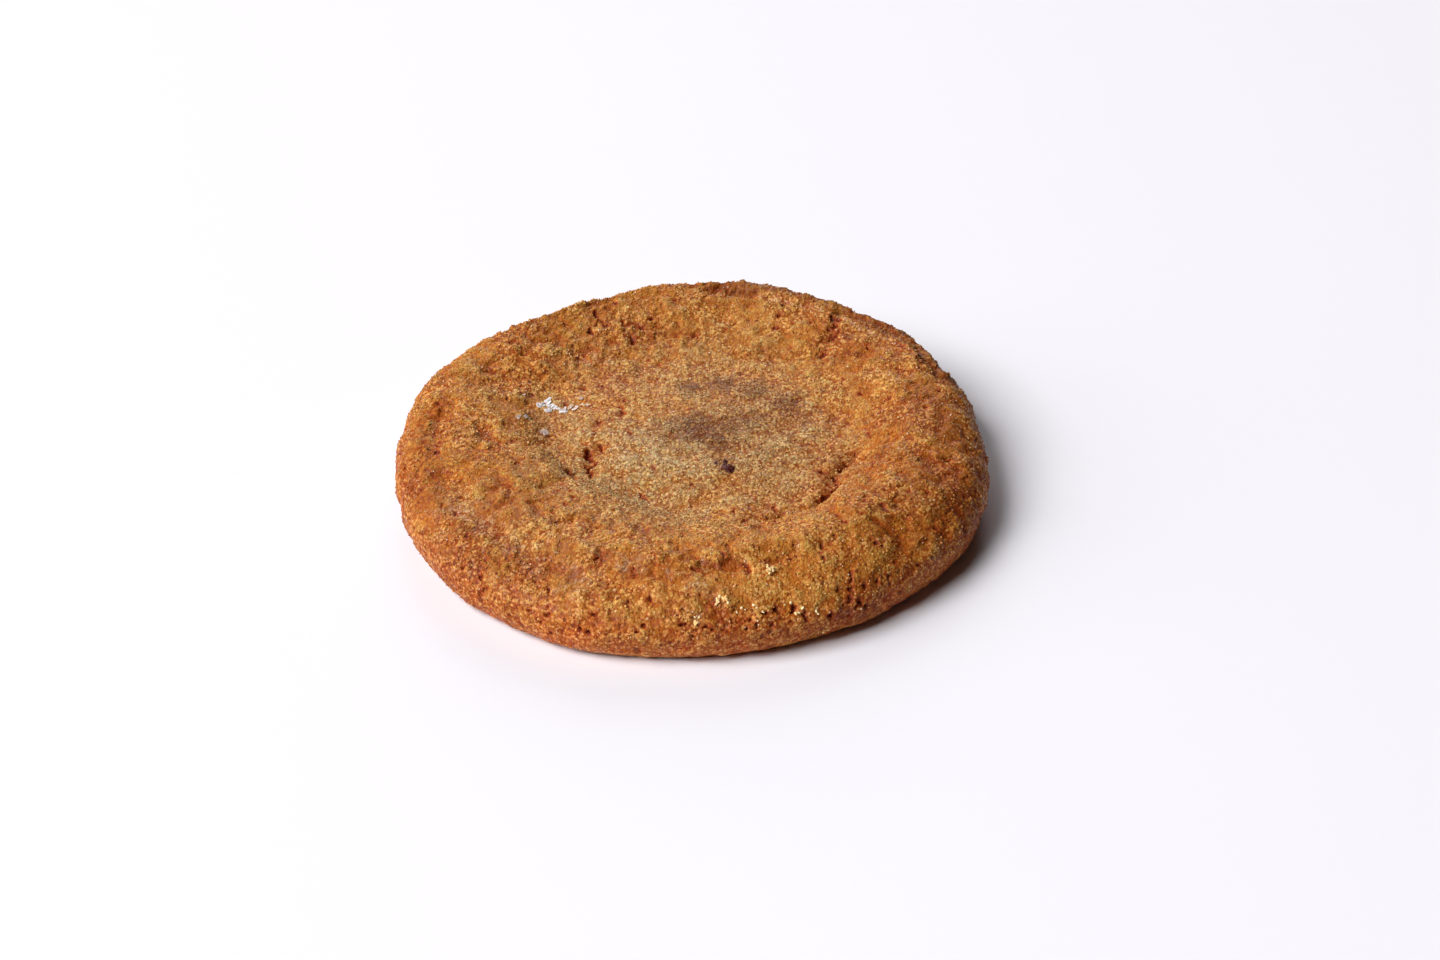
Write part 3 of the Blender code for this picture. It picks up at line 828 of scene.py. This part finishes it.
# Painted shade: the band outside the fold slopes away from the light, so it gets the browned and the stain
# colours
shade_outside_lip = smoothstep(0.2, 1.0, from_middle / MM - np.interp(crust_turn, lip_turn, lip_reach))
shade_outside_lip *= smoothstep(lip_turn[0] - 0.1, lip_turn[0] + 0.1, crust_turn)
shade_outside_lip *= smoothstep(lip_turn[-1] + 0.1, lip_turn[-1] - 0.1, crust_turn)
toasted_and_shaded = np.maximum(toasted_and_shaded, 0.4 * shade_outside_lip)
stained_and_shaded = np.maximum(stained_and_shaded, 0.35 * shade_outside_lip)
low_down = 1 - smoothstep(6.0 * MM, 11.5 * MM, crust_places[:, 2])
porous = np.clip(0.62 + 0.15 * on_ring + 0.45 * low_down, 0, 1.2)
porous = np.clip(porous + 0.4 * stained_and_shaded, 0, 1.2)
porous *= smoothstep(-0.35, 0.05, noise_at(crust_places, 5.0 * MM, 44.0))
rusty = 1 - smoothstep(2.0 * MM, 11.0 * MM, crust_places[:, 2])
hole_away = np.clip(np.minimum(placed_away, pore_away), -1.0, 2.0)
raised = 0.5 + 0.6 * noise_at(crust_places, 4.5 * MM) + 0.8 * puffs + 0.7 * crumbs - 0.35 * valleys
raised = np.clip(raised, 0, 1)
sugary = np.clip(1 - 0.7 * stained_and_shaded - 0.3 * toasted_and_shaded - 0.4 * cleft, 0, 1)
waxy = smoothstep(-0.15, 0.2, noise_at(crust_places, 6.0 * MM, 61.0)) * on_ring * (1 - on_edge)
sugary *= 1 - 0.6 * waxy
final_places, final_normals = places_of(crust), normals_of(crust)
crust_tree = BVHTree.FromBMesh(crust)
print("pale over", round(float((pale > 0.5).mean()), 2), "of the crust")

# %% [markdown]
# ## Close the base
# The rim of the grid lies flat at the bottom. One face across it closes the body, and the finished mesh
# gets the shares as named attributes.

# %% Make the cookie's mesh
contour = [edge for edge in crust.edges if edge.is_boundary]
bmesh.ops.contextual_create(crust, geom=contour)
bmesh.ops.recalc_face_normals(crust, faces=crust.faces[:])
cookie_mesh = mesh_from(crust, "cookie_crust")
cookie_mesh.shade_smooth()
cookie_mesh.set_sharp_from_angle(angle=math.radians(75))


def keep(mesh, name, values):
    """Keeps one number for each point of the mesh, for the material to read."""
    layer = mesh.attributes.new(name, "FLOAT", "POINT")
    layer.data.foreach_set("value", np.asarray(values, np.float32))


COLOUR_SHARES = {
    "pale": pale,
    "painted_light": painted_light,
    "toasted_and_shaded": toasted_and_shaded,
    "stained_and_shaded": stained_and_shaded,
    "rusty": rusty,
    "raised": raised,
    "cleft": cleft,
    "specked": specked,
    "painted_sheen": painted_sheen,
    "porous": porous,
    "sugary": sugary,
    "waxy": waxy,
}
for share_name, share_values in COLOUR_SHARES.items():
    keep(cookie_mesh, share_name, share_values)
keep(cookie_mesh, "hole_away", hole_away)
cookie = put_in_scene("cookie_crust", cookie_mesh)
print("cookie has", sum(len(face.vertices) - 2 for face in cookie_mesh.polygons), "triangles")

# %% [markdown]
# ## Baked dough
# Flour, butter and brown sugar, set in the oven: a matt crumb whose sugar grains, 0.3 to 0.5 mm across,
# catch the light one by one. Its colour is mixed from the shares above, then broken up at three sizes:
# blotches of a few millimetres, clumps of about one, and grains. Butter and sugar syrup have an index of
# refraction near 1.46. A fine bump at the size of the grains gives the sparkle without more faces.

# %% Mix the baked dough
GRAIN_SIZE = 0.40 * MM
BLOTCH_SIZE = 3.5 * MM
DRAWN_OUT = (1.0, 0.82, 1.0)


def place_in(tree):
    """The Object coordinates, from one node for each tree. A grain that stands up looks as tall as it is
    wide. Paint lies flat and would look squashed from a low camera, so its pattern is drawn out in depth."""
    node = tree.nodes.get("place")
    if node is None:
        place = add(tree, "ShaderNodeTexCoord").outputs["Object"]
        settings = {"operation": "MULTIPLY", "name": "place"}
        node = add(tree, "ShaderNodeVectorMath", settings, i_0=place, i_1=DRAWN_OUT)
    return node.outputs[0]


def share_of(tree, name):
    return add(tree, "ShaderNodeAttribute", {"attribute_name": name}).outputs["Fac"]


def blend_colours(tree, factor, first, second, kind="MIX"):
    """Mixes two colours, each a link or a hex value."""
    first = first if isinstance(first, bpy.types.NodeSocket) else (*linear(first), 1)
    second = second if isinstance(second, bpy.types.NodeSocket) else (*linear(second), 1)
    settings = {"data_type": "RGBA", "blend_type": kind}
    return add(tree, "ShaderNodeMix", settings, i_0=factor, i_6=first, i_7=second).outputs[2]


def spread(tree, value, low, high, to_low=0.0, to_high=1.0):
    """Stretches the range from low to high over the range from to_low to to_high, and clamps it."""
    ends = {"i_1": low, "i_2": high, "i_3": to_low, "i_4": to_high}
    return add(tree, "ShaderNodeMapRange", {"clamp": True}, i_0=value, **ends).outputs[0]


def combined(tree, operation, *values):
    """What a Math node makes of two or three links or numbers."""
    links = {f"i_{place}": value for place, value in enumerate(values)}
    return add(tree, "ShaderNodeMath", {"operation": operation}, **links).outputs[0]


def bump(tree, height, strength, depth, inverted=False, **under):
    """A bump as deep as depth, in metres, for a shader's Normal. It may lie on another one."""
    links = {"Height": height, "Strength": strength, "Distance": depth, **under}
    return add(tree, "ShaderNodeBump", {"invert": inverted}, **links).outputs[0]


def lumpy(tree, size, detail=2.0, roughness=0.5):
    """Noise whose lumps are size across, from about 0.3 to 0.7."""
    fineness = {"Scale": 1 / size, "Detail": detail, "Roughness": roughness}
    return add(tree, "ShaderNodeTexNoise", Vector=place_in(tree), **fineness).outputs["Fac"]


def cells(tree, size, shift=0.0):
    """Voronoi cells of that size: (distance from the cell's middle in cells, one random number, another)."""
    aside = (shift * MM, 0, 0)
    moved = add(tree, "ShaderNodeVectorMath", {"operation": "ADD"}, i_0=place_in(tree), i_1=aside).outputs[0]
    node = add(tree, "ShaderNodeTexVoronoi", Vector=moved, Scale=1 / size)
    parts = add(tree, "ShaderNodeSeparateColor", i_0=node.outputs["Color"]).outputs
    return node.outputs["Distance"], parts[0], parts[1]


def tint(tree, shade, factor, low, high):
    """Multiplies a colour by the low tint where factor is 0 and by the high one where it is 1."""
    ends = {"i_6": (*low, 1), "i_7": (*high, 1)}
    tints = add(tree, "ShaderNodeMix", {"data_type": "RGBA"}, i_0=factor, **ends).outputs[2]
    return blend_colours(tree, 1.0, shade, tints, "MULTIPLY")


def crust_colour(tree):
    """The dough's colour before its grains, from the shares kept on the mesh."""
    blotches = lumpy(tree, BLOTCH_SIZE, 3.0)
    amber_tone = lumpy(tree, 2.2 * MM, 4.0, 0.6)
    clump_tone = spread(tree, lumpy(tree, 0.9 * MM, 2.0, 0.6), 0.3, 0.7)
    shade = blend_colours(tree, share_of(tree, "rusty"), "#ba7c2c", "#c06820")
    shade = blend_colours(tree, spread(tree, blotches, 0.45, 0.65, 0.0, 0.35), shade, "#965612")
    shade = blend_colours(tree, spread(tree, amber_tone, 0.52, 0.66, 0.0, 0.30), shade, "#a04e08")
    shade = blend_colours(tree, spread(tree, share_of(tree, "pale"), 0.0, 1.0, 0.0, 0.92), shade, "#b08950")
    # Of these, the first is painted light, a sunlit gold on slopes turned from the window; the second and
    # third also carry painted shade
    for name, colour in (("painted_light", "#cc8a38"), ("toasted_and_shaded", "#944a08"), ("stained_and_shaded", "#6a3406")):
        shade = blend_colours(tree, share_of(tree, name), shade, colour)
    # Painted shade: the clefts are darkened and reddened
    shade = tint(tree, shade, share_of(tree, "cleft"), (1.0, 1.0, 1.0), (0.76, 0.50, 0.30))
    # Painted shade in the low places and painted light on the tops of the lumps
    shade = tint(tree, shade, share_of(tree, "raised"), (0.93, 0.70, 0.44), (1.04, 1.17, 1.56))
    # Painted sheen: a pale cream laid where slopes mirror the window, along the fold's lip and at the glints
    sheen_breaks = spread(tree, lumpy(tree, 1.1 * MM, 3.0, 0.7), 0.42, 0.62, 0.0, 0.4)
    sheen = combined(tree, "MULTIPLY", sheen_breaks, share_of(tree, "painted_sheen"))
    shade = blend_colours(tree, sheen, shade, "#e6caa8")
    return tint(tree, shade, clump_tone, (0.97, 0.85, 0.66), (1.03, 1.13, 1.40))


def grained(tree, shade, tone, low, high, cream):
    """Gives each grain its own colour: browner than the shade where its tone is 0, lighter where it is 1.
    The lightest turn up to a share called cream of the way to pale sugar, where the crust is sugary. Where it
    is waxy, the tones come closer to the middle one."""
    tones = {"i_2": tone, "i_3": spread(tree, tone, 0.0, 1.0, 0.26, 0.74)}
    waxy_share = share_of(tree, "waxy")
    tone = add(tree, "ShaderNodeMix", {"data_type": "FLOAT"}, i_0=waxy_share, **tones).outputs[0]
    shade = tint(tree, shade, tone, low, high)
    creamy = combined(tree, "MULTIPLY", spread(tree, tone, 0.6, 1.0, 0.0, cream), share_of(tree, "sugary"))
    return blend_colours(tree, creamy, shade, "#e8b87e")


def dotted(tree, shade, spacing, shift, lowest, widest, dot_colour):
    """Sprinkles small dots over a colour, one in each Voronoi cell whose random number is above lowest. They
    are widest where the crust is porous."""
    middle, chance, _ = cells(tree, spacing, shift)
    width = spread(tree, chance, lowest, 1.0, 0.0, widest)
    width = combined(tree, "MULTIPLY", width, share_of(tree, "porous"))
    inside = combined(tree, "SUBTRACT", width, middle)
    return blend_colours(tree, spread(tree, inside, -0.03, 0.03, 0.0, 0.85), shade, dot_colour)


baked_dough, dough, dough_shader = new_material("baked_dough", 0.6, 1.46)
grain_middle, grain_tone, grain_gloss = cells(dough, GRAIN_SIZE)
colour = grained(dough, crust_colour(dough), grain_tone, (0.62, 0.34, 0.12), (1.34, 1.74, 2.2), 0.45)
# Painted shade in the gaps between grains and painted light on their middles
colour = tint(dough, colour, spread(dough, grain_middle, 0.3, 0.65), (1.05, 1.08, 1.12), (0.86, 0.76, 0.60))
colour = blend_colours(dough, share_of(dough, "specked"), colour, "#64200c")
# Painted pinholes: dark dots that stand for the shade inside tiny pits
colour = dotted(dough, colour, 1.4 * MM, 7.0, 0.35, 0.34, "#6a2a0a")
colour = dotted(dough, colour, 0.8 * MM, 3.0, 0.3, 0.32, "#803a10")

ragged = combined(dough, "SUBTRACT", lumpy(dough, 0.5 * MM, 1.0), 0.5)
hole_edge = combined(dough, "MULTIPLY_ADD", ragged, 0.8, share_of(dough, "hole_away"))
# Painted shade inside the cracks and pores, on top of the shadow cast by their own depth
colour = blend_colours(dough, spread(dough, hole_edge, 0.45, 0.05, 0.0, 0.75), colour, "#983e0c")
colour = blend_colours(dough, spread(dough, hole_edge, 0.12, -0.08, 0.0, 0.9), colour, "#782a0c")
gloss = spread(dough, grain_gloss, 0.0, 1.0, 0.36, 0.8)
grain_bump = bump(dough, grain_middle, 0.7, 0.14 * MM, inverted=True)
crumb_bump = bump(dough, lumpy(dough, 0.8 * MM, 3.0, 0.6), 0.55, 0.18 * MM, Normal=grain_bump)
fill(dough, dough_shader, Base_Color=colour, Roughness=gloss, Specular_IOR_Level=0.24, Normal=crumb_bump)
# Light wanders inside the dough up to 1 mm, and red light gets farthest
fill(dough, dough_shader, Subsurface_Weight=0.6, Subsurface_Scale=1.0 * MM)
fill(dough, dough_shader, Subsurface_Radius=(1.0, 0.32, 0.12))
cookie.data.materials.append(baked_dough)
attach(cookie, "root")
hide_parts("cookie")
print("dough mixed from", len(dough.nodes), "nodes")

# %% [markdown]
# ## Heaps of small things
# Salt, crumbs and sugar are many small bodies of one kind. Each kind is one piece, so each starts as an
# empty heap that small meshes are gathered into. Every small body also gets one tone of its own, kept as an
# attribute, which its material reads: it makes one grain whiter or more honey-coloured than the next.

# %% Write the helpers that lay small bodies on the crust
def gather(heap, body, tones, tone):
    """Adds a small body to a heap, and its tone, once for each of its points, to the list of tones."""
    tones.extend([tone] * len(body.verts))
    carrier = mesh_from(body, "carrier")
    heap.from_mesh(carrier)
    bpy.data.meshes.remove(carrier)


def laid_at(point, normal, turn, tilt=0.0):
    """Stands +Z along the crust's outward direction at a point, after a turn and a tilt in radians."""
    upright = Matrix.Translation(point) @ normal.to_track_quat("Z", "Y").to_matrix().to_4x4()
    return upright @ Matrix.Rotation(turn, 4, "Z") @ Matrix.Rotation(tilt, 4, "X")


def finish_heap(heap, name, tones, material):
    """Makes one piece of a heap, which rides with the cookie."""
    bmesh.ops.recalc_face_normals(heap, faces=heap.faces[:])
    mesh = mesh_from(heap, name)
    keep(mesh, "tone", tones)
    mesh.validate()
    piece = put_in_scene(name, mesh)
    mesh.materials.append(material)
    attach(piece, "root")
    print(name, "has", sum(len(face.vertices) - 2 for face in mesh.polygons), "triangles")
    return piece


# %% [markdown]
# ## Salt flakes
# Sea salt dries in thin hard plates that snap at straight edges. A plate is a box whose corners are cut off
# by a few random planes: bisect_plane cuts, and contextual_create closes the cut. Those that stand proud
# are white, because they are full of tiny flaws. The thin ones that lie flat on the dough let its colour
# through.

# %% Break and lay the salt
# (place across and down the picture, reach across and down, number of plates, their usual length in mm, tilt
# in degrees, whiteness)
SALT_CLUSTERS = (
    (541, 405, 3.0, 1.0, 5, 1.0, 25, 1.0),
    (547, 402, 2.5, 2.5, 7, 1.0, 50, 1.0),
    (552, 407, 3.5, 2.0, 7, 0.9, 30, 0.95),
    (548, 411, 2.5, 1.0, 4, 0.8, 20, 0.85),
    (562, 411, 4.5, 2.2, 9, 0.9, 20, 0.7),
    (573, 408, 4.0, 1.6, 6, 0.8, 15, 0.35),
    (585, 405, 2.5, 0.6, 4, 0.6, 15, 0.35),
    (582, 399, 2.5, 0.6, 3, 0.6, 15, 0.3),
    (524, 396, 1.2, 1.2, 2, 0.5, 30, 0.7),
    (527, 418, 2.5, 1.6, 5, 0.8, 20, 0.6),
    (520, 418, 2.5, 1.6, 4, 0.8, 20, 0.35),
    (544, 433, 3.5, 2.2, 7, 0.8, 20, 0.4),
)
SALT_SEED = 11


def broken_plate(length, width, thickness, cuts, dice):
    """A thin box with its corners cut off, flat side down."""
    plate = bmesh.new()
    bmesh.ops.create_cube(plate, size=1.0)
    bmesh.ops.scale(plate, vec=(length, width, thickness), verts=plate.verts)
    for _ in range(cuts):
        aside, along, above = dice.uniform(-1, 1), dice.uniform(-1, 1), dice.uniform(-0.3, 0.3)
        way = Vector((aside * width, along * length, above * length)).normalized()
        corner = (abs(way.x) * length + abs(way.y) * width + abs(way.z) * thickness) / 2
        near = way * corner * dice.uniform(0.55, 0.85)
        everything = plate.verts[:] + plate.edges[:] + plate.faces[:]
        cut = bmesh.ops.bisect_plane(plate, geom=everything, plane_co=near, plane_no=way, clear_outer=True)
        rim = [item for item in cut["geom_cut"] if isinstance(item, bmesh.types.BMEdge)]
        bmesh.ops.contextual_create(plate, geom=rim)
    return plate


salt_dice = random.Random(SALT_SEED)
salt_heap = bmesh.new()
salt_tones = []
for across, down, reach_across, reach_down, count, usual, tilt, whiteness in SALT_CLUSTERS:
    for _ in range(count):
        length = usual * salt_dice.uniform(0.6, 1.3) * MM
        width = length * salt_dice.uniform(0.4, 0.8)
        thickness = salt_dice.uniform(0.12, 0.26) * MM
        plate = broken_plate(length, width, thickness, 4, salt_dice)
        point, normal = seen_at(
            across + reach_across * salt_dice.uniform(-1, 1), down + reach_down * salt_dice.uniform(-1, 1)
        )
        lean = math.radians(tilt) * salt_dice.uniform(-1, 1)
        stand = laid_at(point, normal, salt_dice.uniform(0, 2 * math.pi), lean)
        lift = 0.3 * thickness + 0.35 * width * abs(math.sin(lean))
        bmesh.ops.transform(plate, matrix=stand @ Matrix.Translation((0, 0, lift)), verts=plate.verts)
        gather(salt_heap, plate, salt_tones, whiteness * salt_dice.uniform(0.85, 1.0))

# Sea salt: white from its flaws, and dough-coloured where it is thin, with an index of refraction of 1.54
sea_salt, salt_tree, salt_shader = new_material("sea_salt", 0.28, 1.54)
salt_flaws = lumpy(salt_tree, 0.5 * MM)
salt_colour = blend_colours(salt_tree, share_of(salt_tree, "tone"), "#b07c46", "#fffafc")
salt_colour = tint(salt_tree, salt_colour, salt_flaws, (0.92, 0.91, 0.94), (1.0, 1.0, 1.0))
fill(salt_tree, salt_shader, Base_Color=salt_colour, Normal=bump(salt_tree, salt_flaws, 0.3, 0.1 * MM))
# Light wanders inside the salt up to 0.4 mm, all its colours alike
fill(salt_tree, salt_shader, Subsurface_Weight=0.4, Subsurface_Scale=0.4 * MM)
fill(salt_tree, salt_shader, Subsurface_Radius=(1.0, 1.0, 1.0))
finish_heap(salt_heap, "salt_flakes", salt_tones, sea_salt)

# %% [markdown]
# ## Crumbs
# Crumbs that dropped on the cookie are paler than its crust, because they come from inside a baked thing. A
# crumb is a cluster of round lobes. Overlapping spheres would leave their skins inside each other, so a
# Remesh modifier draws one skin round them all, and noise then roughens it.

# %% Cluster the lobes and lay the crumbs
# Each crumb: place across and down the picture, turn in degrees and tone, then its lobes' x, y, z and radius
# in mm
CRUMBS = (
    (
        (770, 571, 0, 0.6),
        ((0.0, 0.0, 0.25, 0.34), (-0.5, 0.1, 0.3, 0.26), (0.55, 0.1, 0.3, 0.27), (-0.1, 0.5, 0.55, 0.28)),
        ((0.35, -0.4, 0.2, 0.24), (-0.35, -0.4, 0.15, 0.22), (0.0, 0.2, 0.4, 0.30), (-0.1, 0.6, 0.8, 0.18)),
    ),
    (
        (718, 603, 10, 0.6),
        ((0.0, 0.0, 0.25, 0.30), (-0.1, 0.4, 0.5, 0.30), (0.15, 0.8, 0.75, 0.26), (-0.15, -0.4, 0.15, 0.22)),
        ((-0.1, 0.2, 0.35, 0.28),),
    ),
    (
        (725, 600, 40, 0.25),
        ((0.0, 0.0, 0.2, 0.34), (0.3, 0.35, 0.3, 0.30), (-0.25, 0.3, 0.3, 0.28), (0.35, -0.2, 0.2, 0.24)),
    ),
    (
        (696, 624, 0, 0.4),
        ((0.0, 0.0, 0.2, 0.32), (-0.3, 0.3, 0.2, 0.26), (0.3, 0.2, 0.2, 0.24), (0.05, -0.3, 0.1, 0.22)),
    ),
)
CRUMB_SKIN = 0.09 * MM
CRUMB_ROUGHNESS = 0.10 * MM


def crumb_of(lobes):
    """One skin round a cluster of lobes, roughened by noise."""
    lump = bmesh.new()
    for x, y, z, lobe_radius in lobes:
        spot = Matrix.Translation(Vector((x, y, z)) * MM)
        bmesh.ops.create_icosphere(lump, subdivisions=2, radius=lobe_radius * MM, matrix=spot)
    mesh = mesh_from(lump, "lobes")
    lobed = put_in_scene("lobes", mesh)
    skin = lobed.modifiers.new("skin", "REMESH")
    skin.mode = "VOXEL"
    skin.voxel_size = CRUMB_SKIN
    crumb = bmesh.new()
    crumb.from_object(lobed, bpy.context.evaluated_depsgraph_get())
    bpy.data.objects.remove(lobed)
    bpy.data.meshes.remove(mesh)
    rough = noise_at(places_of(crumb), 0.35 * MM, 2.0) + 0.5 * noise_at(places_of(crumb), 0.18 * MM, 5.0)
    push_out(crumb, lambda places: rough * 2 * CRUMB_ROUGHNESS)
    return crumb


crumb_heap = bmesh.new()
crumb_tones = []
for (across, down, turn, tone), *groups in CRUMBS:
    crumb = crumb_of([lobe for group in groups for lobe in group])
    point, normal = seen_at(across, down)
    upright = normal.lerp(Vector((0, 0, 1)), 0.5).normalized()
    bmesh.ops.transform(crumb, matrix=laid_at(point, upright, math.radians(turn)), verts=crumb.verts)
    gather(crumb_heap, crumb, crumb_tones, tone)

# %% Scatter the small bits beside them
# (place across and down the picture, radius in mm, tone)
CRUMB_BITS = (
    (790.5, 603, 0.24, 1.0), (803, 608, 0.22, 1.0), (816, 611, 0.24, 1.0), (818, 614, 0.18, 0.9),
    (796, 614, 0.26, 0.7), (799, 613, 0.18, 0.9), (754, 605, 0.22, 0.9), (757, 608, 0.20, 0.8),
    (763, 612, 0.24, 0.7), (742, 608, 0.18, 0.9), (745, 610, 0.16, 0.9), (737, 612, 0.20, 0.7),
    (785, 605, 0.16, 0.8), (823, 632, 0.32, 0.4), (828, 630, 0.26, 0.3), (695, 617, 0.20, 1.0),
    (699, 617, 0.18, 0.9), (728, 603, 0.24, 0.6),
)
BIT_SEED = 5

bit_dice = random.Random(BIT_SEED)
for across, down, bit_radius, tone in CRUMB_BITS:
    bit = bmesh.new()
    bmesh.ops.create_icosphere(bit, subdivisions=2, radius=bit_radius * MM)
    shift = bit_dice.uniform(0, 50)
    push_out(bit, lambda places: noise_at(places, 0.4 * MM, shift) * bit_radius * MM)
    point, normal = seen_at(across, down)
    bmesh.ops.transform(bit, matrix=laid_at(point, normal, bit_dice.uniform(0, 6.28)), verts=bit.verts)
    gather(crumb_heap, bit, crumb_tones, tone)

# Dry crumb: flour and butter baked pale, matt, with darker and lighter spots
dry_crumb, crumb_tree, crumb_shader = new_material("dry_pale_crumb", 0.8, 1.45)
crumb_spots = lumpy(crumb_tree, 0.45 * MM, 3.0)
crumb_colour = blend_colours(crumb_tree, share_of(crumb_tree, "tone"), "#eeb05c", "#fff2c4")
crumb_tint = spread(crumb_tree, crumb_spots, 0.35, 0.65)
crumb_colour = tint(crumb_tree, crumb_colour, crumb_tint, (0.86, 0.74, 0.56), (1.04, 1.05, 1.06))
fill(crumb_tree, crumb_shader, Base_Color=crumb_colour, Normal=bump(crumb_tree, crumb_spots, 0.5, 0.1 * MM))
finish_heap(crumb_heap, "crumbs", crumb_tones, dry_crumb)

# %% [markdown]
# ## Chocolate
# One chip melted just under the crust and only a fleck of it broke through, with a speck and a sliver
# beside it. Melted chocolate sets in rounded pools, so each is a flattened ball with a soft uneven skin,
# sunk halfway in.

# %% Sink the chocolate into the crust
# (place across and down the picture, length, width and thickness in mm, turn in degrees)
CHOCOLATE_FLECKS = (
    (729, 469, 2.2, 1.7, 0.9, -30),
    (725, 463.5, 0.8, 1.0, 0.5, 10),
    (716, 464, 0.5, 0.5, 0.4, 0),
)

chocolate_heap = bmesh.new()
chocolate_tones = []
for across, down, length, width, thickness, turn in CHOCOLATE_FLECKS:
    fleck = bmesh.new()
    bmesh.ops.create_icosphere(fleck, subdivisions=4, radius=0.5)
    bmesh.ops.scale(fleck, vec=(length * MM, width * MM, thickness * MM), verts=fleck.verts)
    places = places_of(fleck)
    uneven = 0.5 * noise_at(places, 0.8 * MM, across) + 0.25 * noise_at(places, 0.35 * MM, down)
    push_out(fleck, lambda places: uneven * MM)
    point, normal = seen_at(across, down)
    bmesh.ops.transform(fleck, matrix=laid_at(point, normal, math.radians(turn)), verts=fleck.verts)
    gather(chocolate_heap, fleck, chocolate_tones, 1.0)

# Dark chocolate: cocoa butter gives it a dull gloss and an index of refraction near 1.45
dark_chocolate, chocolate_tree, chocolate_shader = new_material("dark_chocolate", 0.5, 1.45)
bloom_share = spread(chocolate_tree, lumpy(chocolate_tree, 0.6 * MM, 3.0), 0.45, 0.7)
chocolate_colour = blend_colours(chocolate_tree, bloom_share, "#3a1410", "#6a3430")
fill(chocolate_tree, chocolate_shader, Base_Color=chocolate_colour, Specular_IOR_Level=0.3)
finish_heap(chocolate_heap, "chocolate_flecks", chocolate_tones, dark_chocolate)

# %% [markdown]
# ## Grains of the crust and of sugar
# Close to, the crust is a packed sand of sugar and flour grains. Painted grains would look squashed where
# the crust is seen at a slant, so the coarsest are bodies: small boxes of random stretch and turn, half
# sunk into the crust, each with the colour of the crust under it and a tone of its own. The paler grains
# that didn't melt are a second piece, and they lie closest together where the crust has its painted sheen.
# Twelve triangles are enough for a body a third of a millimetre across. Holes and cracks are left free.

# %% Strew the grains
CRUST_GRAIN_COUNT = 11000
CRUST_GRAIN_SEED = 31
SUGAR_GRAIN_COUNT = 8200
SUGAR_GRAIN_SEED = 23
CUBE_POINTS = 8
GRAIN_BATCH = 100


def strewn(count, weights, smallest, largest, proud, dice):
    """A heap of small boxes on the crust, and for each the index of the crust point under it and a random
    tone. Smallest and largest are in mm, and proud says how far out a box's middle is, in lengths of it."""
    chosen = dice.choices(range(len(weights)), weights=weights.tolist(), k=count)
    heap = bmesh.new()
    for start in range(0, count, GRAIN_BATCH):
        batch = bmesh.new()
        for index in chosen[start : start + GRAIN_BATCH]:
            length = dice.uniform(smallest, largest) * MM
            turned = Euler([dice.uniform(0, 2 * math.pi) for _ in range(3)]).to_matrix().to_4x4()
            stretch = Matrix.Diagonal((1.0, dice.uniform(0.6, 1.0), dice.uniform(0.6, 1.0), 1.0))
            normal = Vector(final_normals[index])
            aside = normal.cross(Vector([dice.uniform(-1, 1) for _ in range(3)])) * 0.25 * MM
            point = Vector(final_places[index]) + aside + normal * length * proud
            bmesh.ops.create_cube(batch, size=length, matrix=Matrix.Translation(point) @ turned @ stretch)
        gather(heap, batch, [], 0.0)
    return heap, chosen, [dice.random() for _ in chosen]


above_tray = smoothstep(1.0 * MM, 2.5 * MM, final_places[:, 2])
unbroken = smoothstep(0.0, 0.35, hole_away)

crust_likely = above_tray * unbroken * (1 - 0.6 * on_edge)
crust_dice = random.Random(CRUST_GRAIN_SEED)
crust_heap, crust_chosen, crust_tones = strewn(
    CRUST_GRAIN_COUNT, crust_likely, smallest=0.18, largest=0.38, proud=-0.12, dice=crust_dice
)
# Grains of the crust: sugar and flour baked into the dough, so their index of refraction is the dough's
grain_stuff, grain_tree, grain_shader = new_material("baked_crust_grains", 0.5, 1.46)
grain_share = share_of(grain_tree, "tone")
grain_colour = crust_colour(grain_tree)
grain_colour = grained(grain_tree, grain_colour, grain_share, (0.72, 0.50, 0.28), (1.40, 1.85, 2.4), 0.5)
fill(grain_tree, grain_shader, Base_Color=grain_colour, Specular_IOR_Level=0.26)
crust_tones = np.repeat(crust_tones, CUBE_POINTS)
crust_grains = finish_heap(crust_heap, "crust_grains", crust_tones, grain_stuff)

sugar_likely = (0.5 + 0.2 * on_ring + 2.0 * painted_sheen) * above_tray * unbroken * (1 - 0.5 * on_edge)
sugar_dice = random.Random(SUGAR_GRAIN_SEED)
sugar_heap, sugar_chosen, sugar_tones = strewn(
    SUGAR_GRAIN_COUNT, sugar_likely, smallest=0.14, largest=0.28, proud=0.05, dice=sugar_dice
)
# Raw sugar: pale crystals, honey-coloured where butter coats them, with an index of refraction of 1.54
raw_sugar, sugar_tree, sugar_shader = new_material("raw_sugar", 0.45, 1.54)
sugar_share = share_of(sugar_tree, "tone")
sugar_colour = crust_colour(sugar_tree)
sugar_colour = grained(sugar_tree, sugar_colour, sugar_share, (0.9, 0.85, 0.8), (1.4, 1.8, 2.6), 0.6)
whitest = spread(sugar_tree, sugar_share, 0.8, 1.0, 0.0, 0.4)
sugar_colour = blend_colours(sugar_tree, whitest, sugar_colour, "#f6ead8")
fill(sugar_tree, sugar_shader, Base_Color=sugar_colour)
sugar_tones = np.repeat(np.square(sugar_tones), CUBE_POINTS)
sugar_grains = finish_heap(sugar_heap, "sugar_grains", sugar_tones, raw_sugar)
for share_name, share_values in COLOUR_SHARES.items():
    keep(crust_grains.data, share_name, np.repeat(share_values[crust_chosen], CUBE_POINTS))
    keep(sugar_grains.data, share_name, np.repeat(share_values[sugar_chosen], CUBE_POINTS))
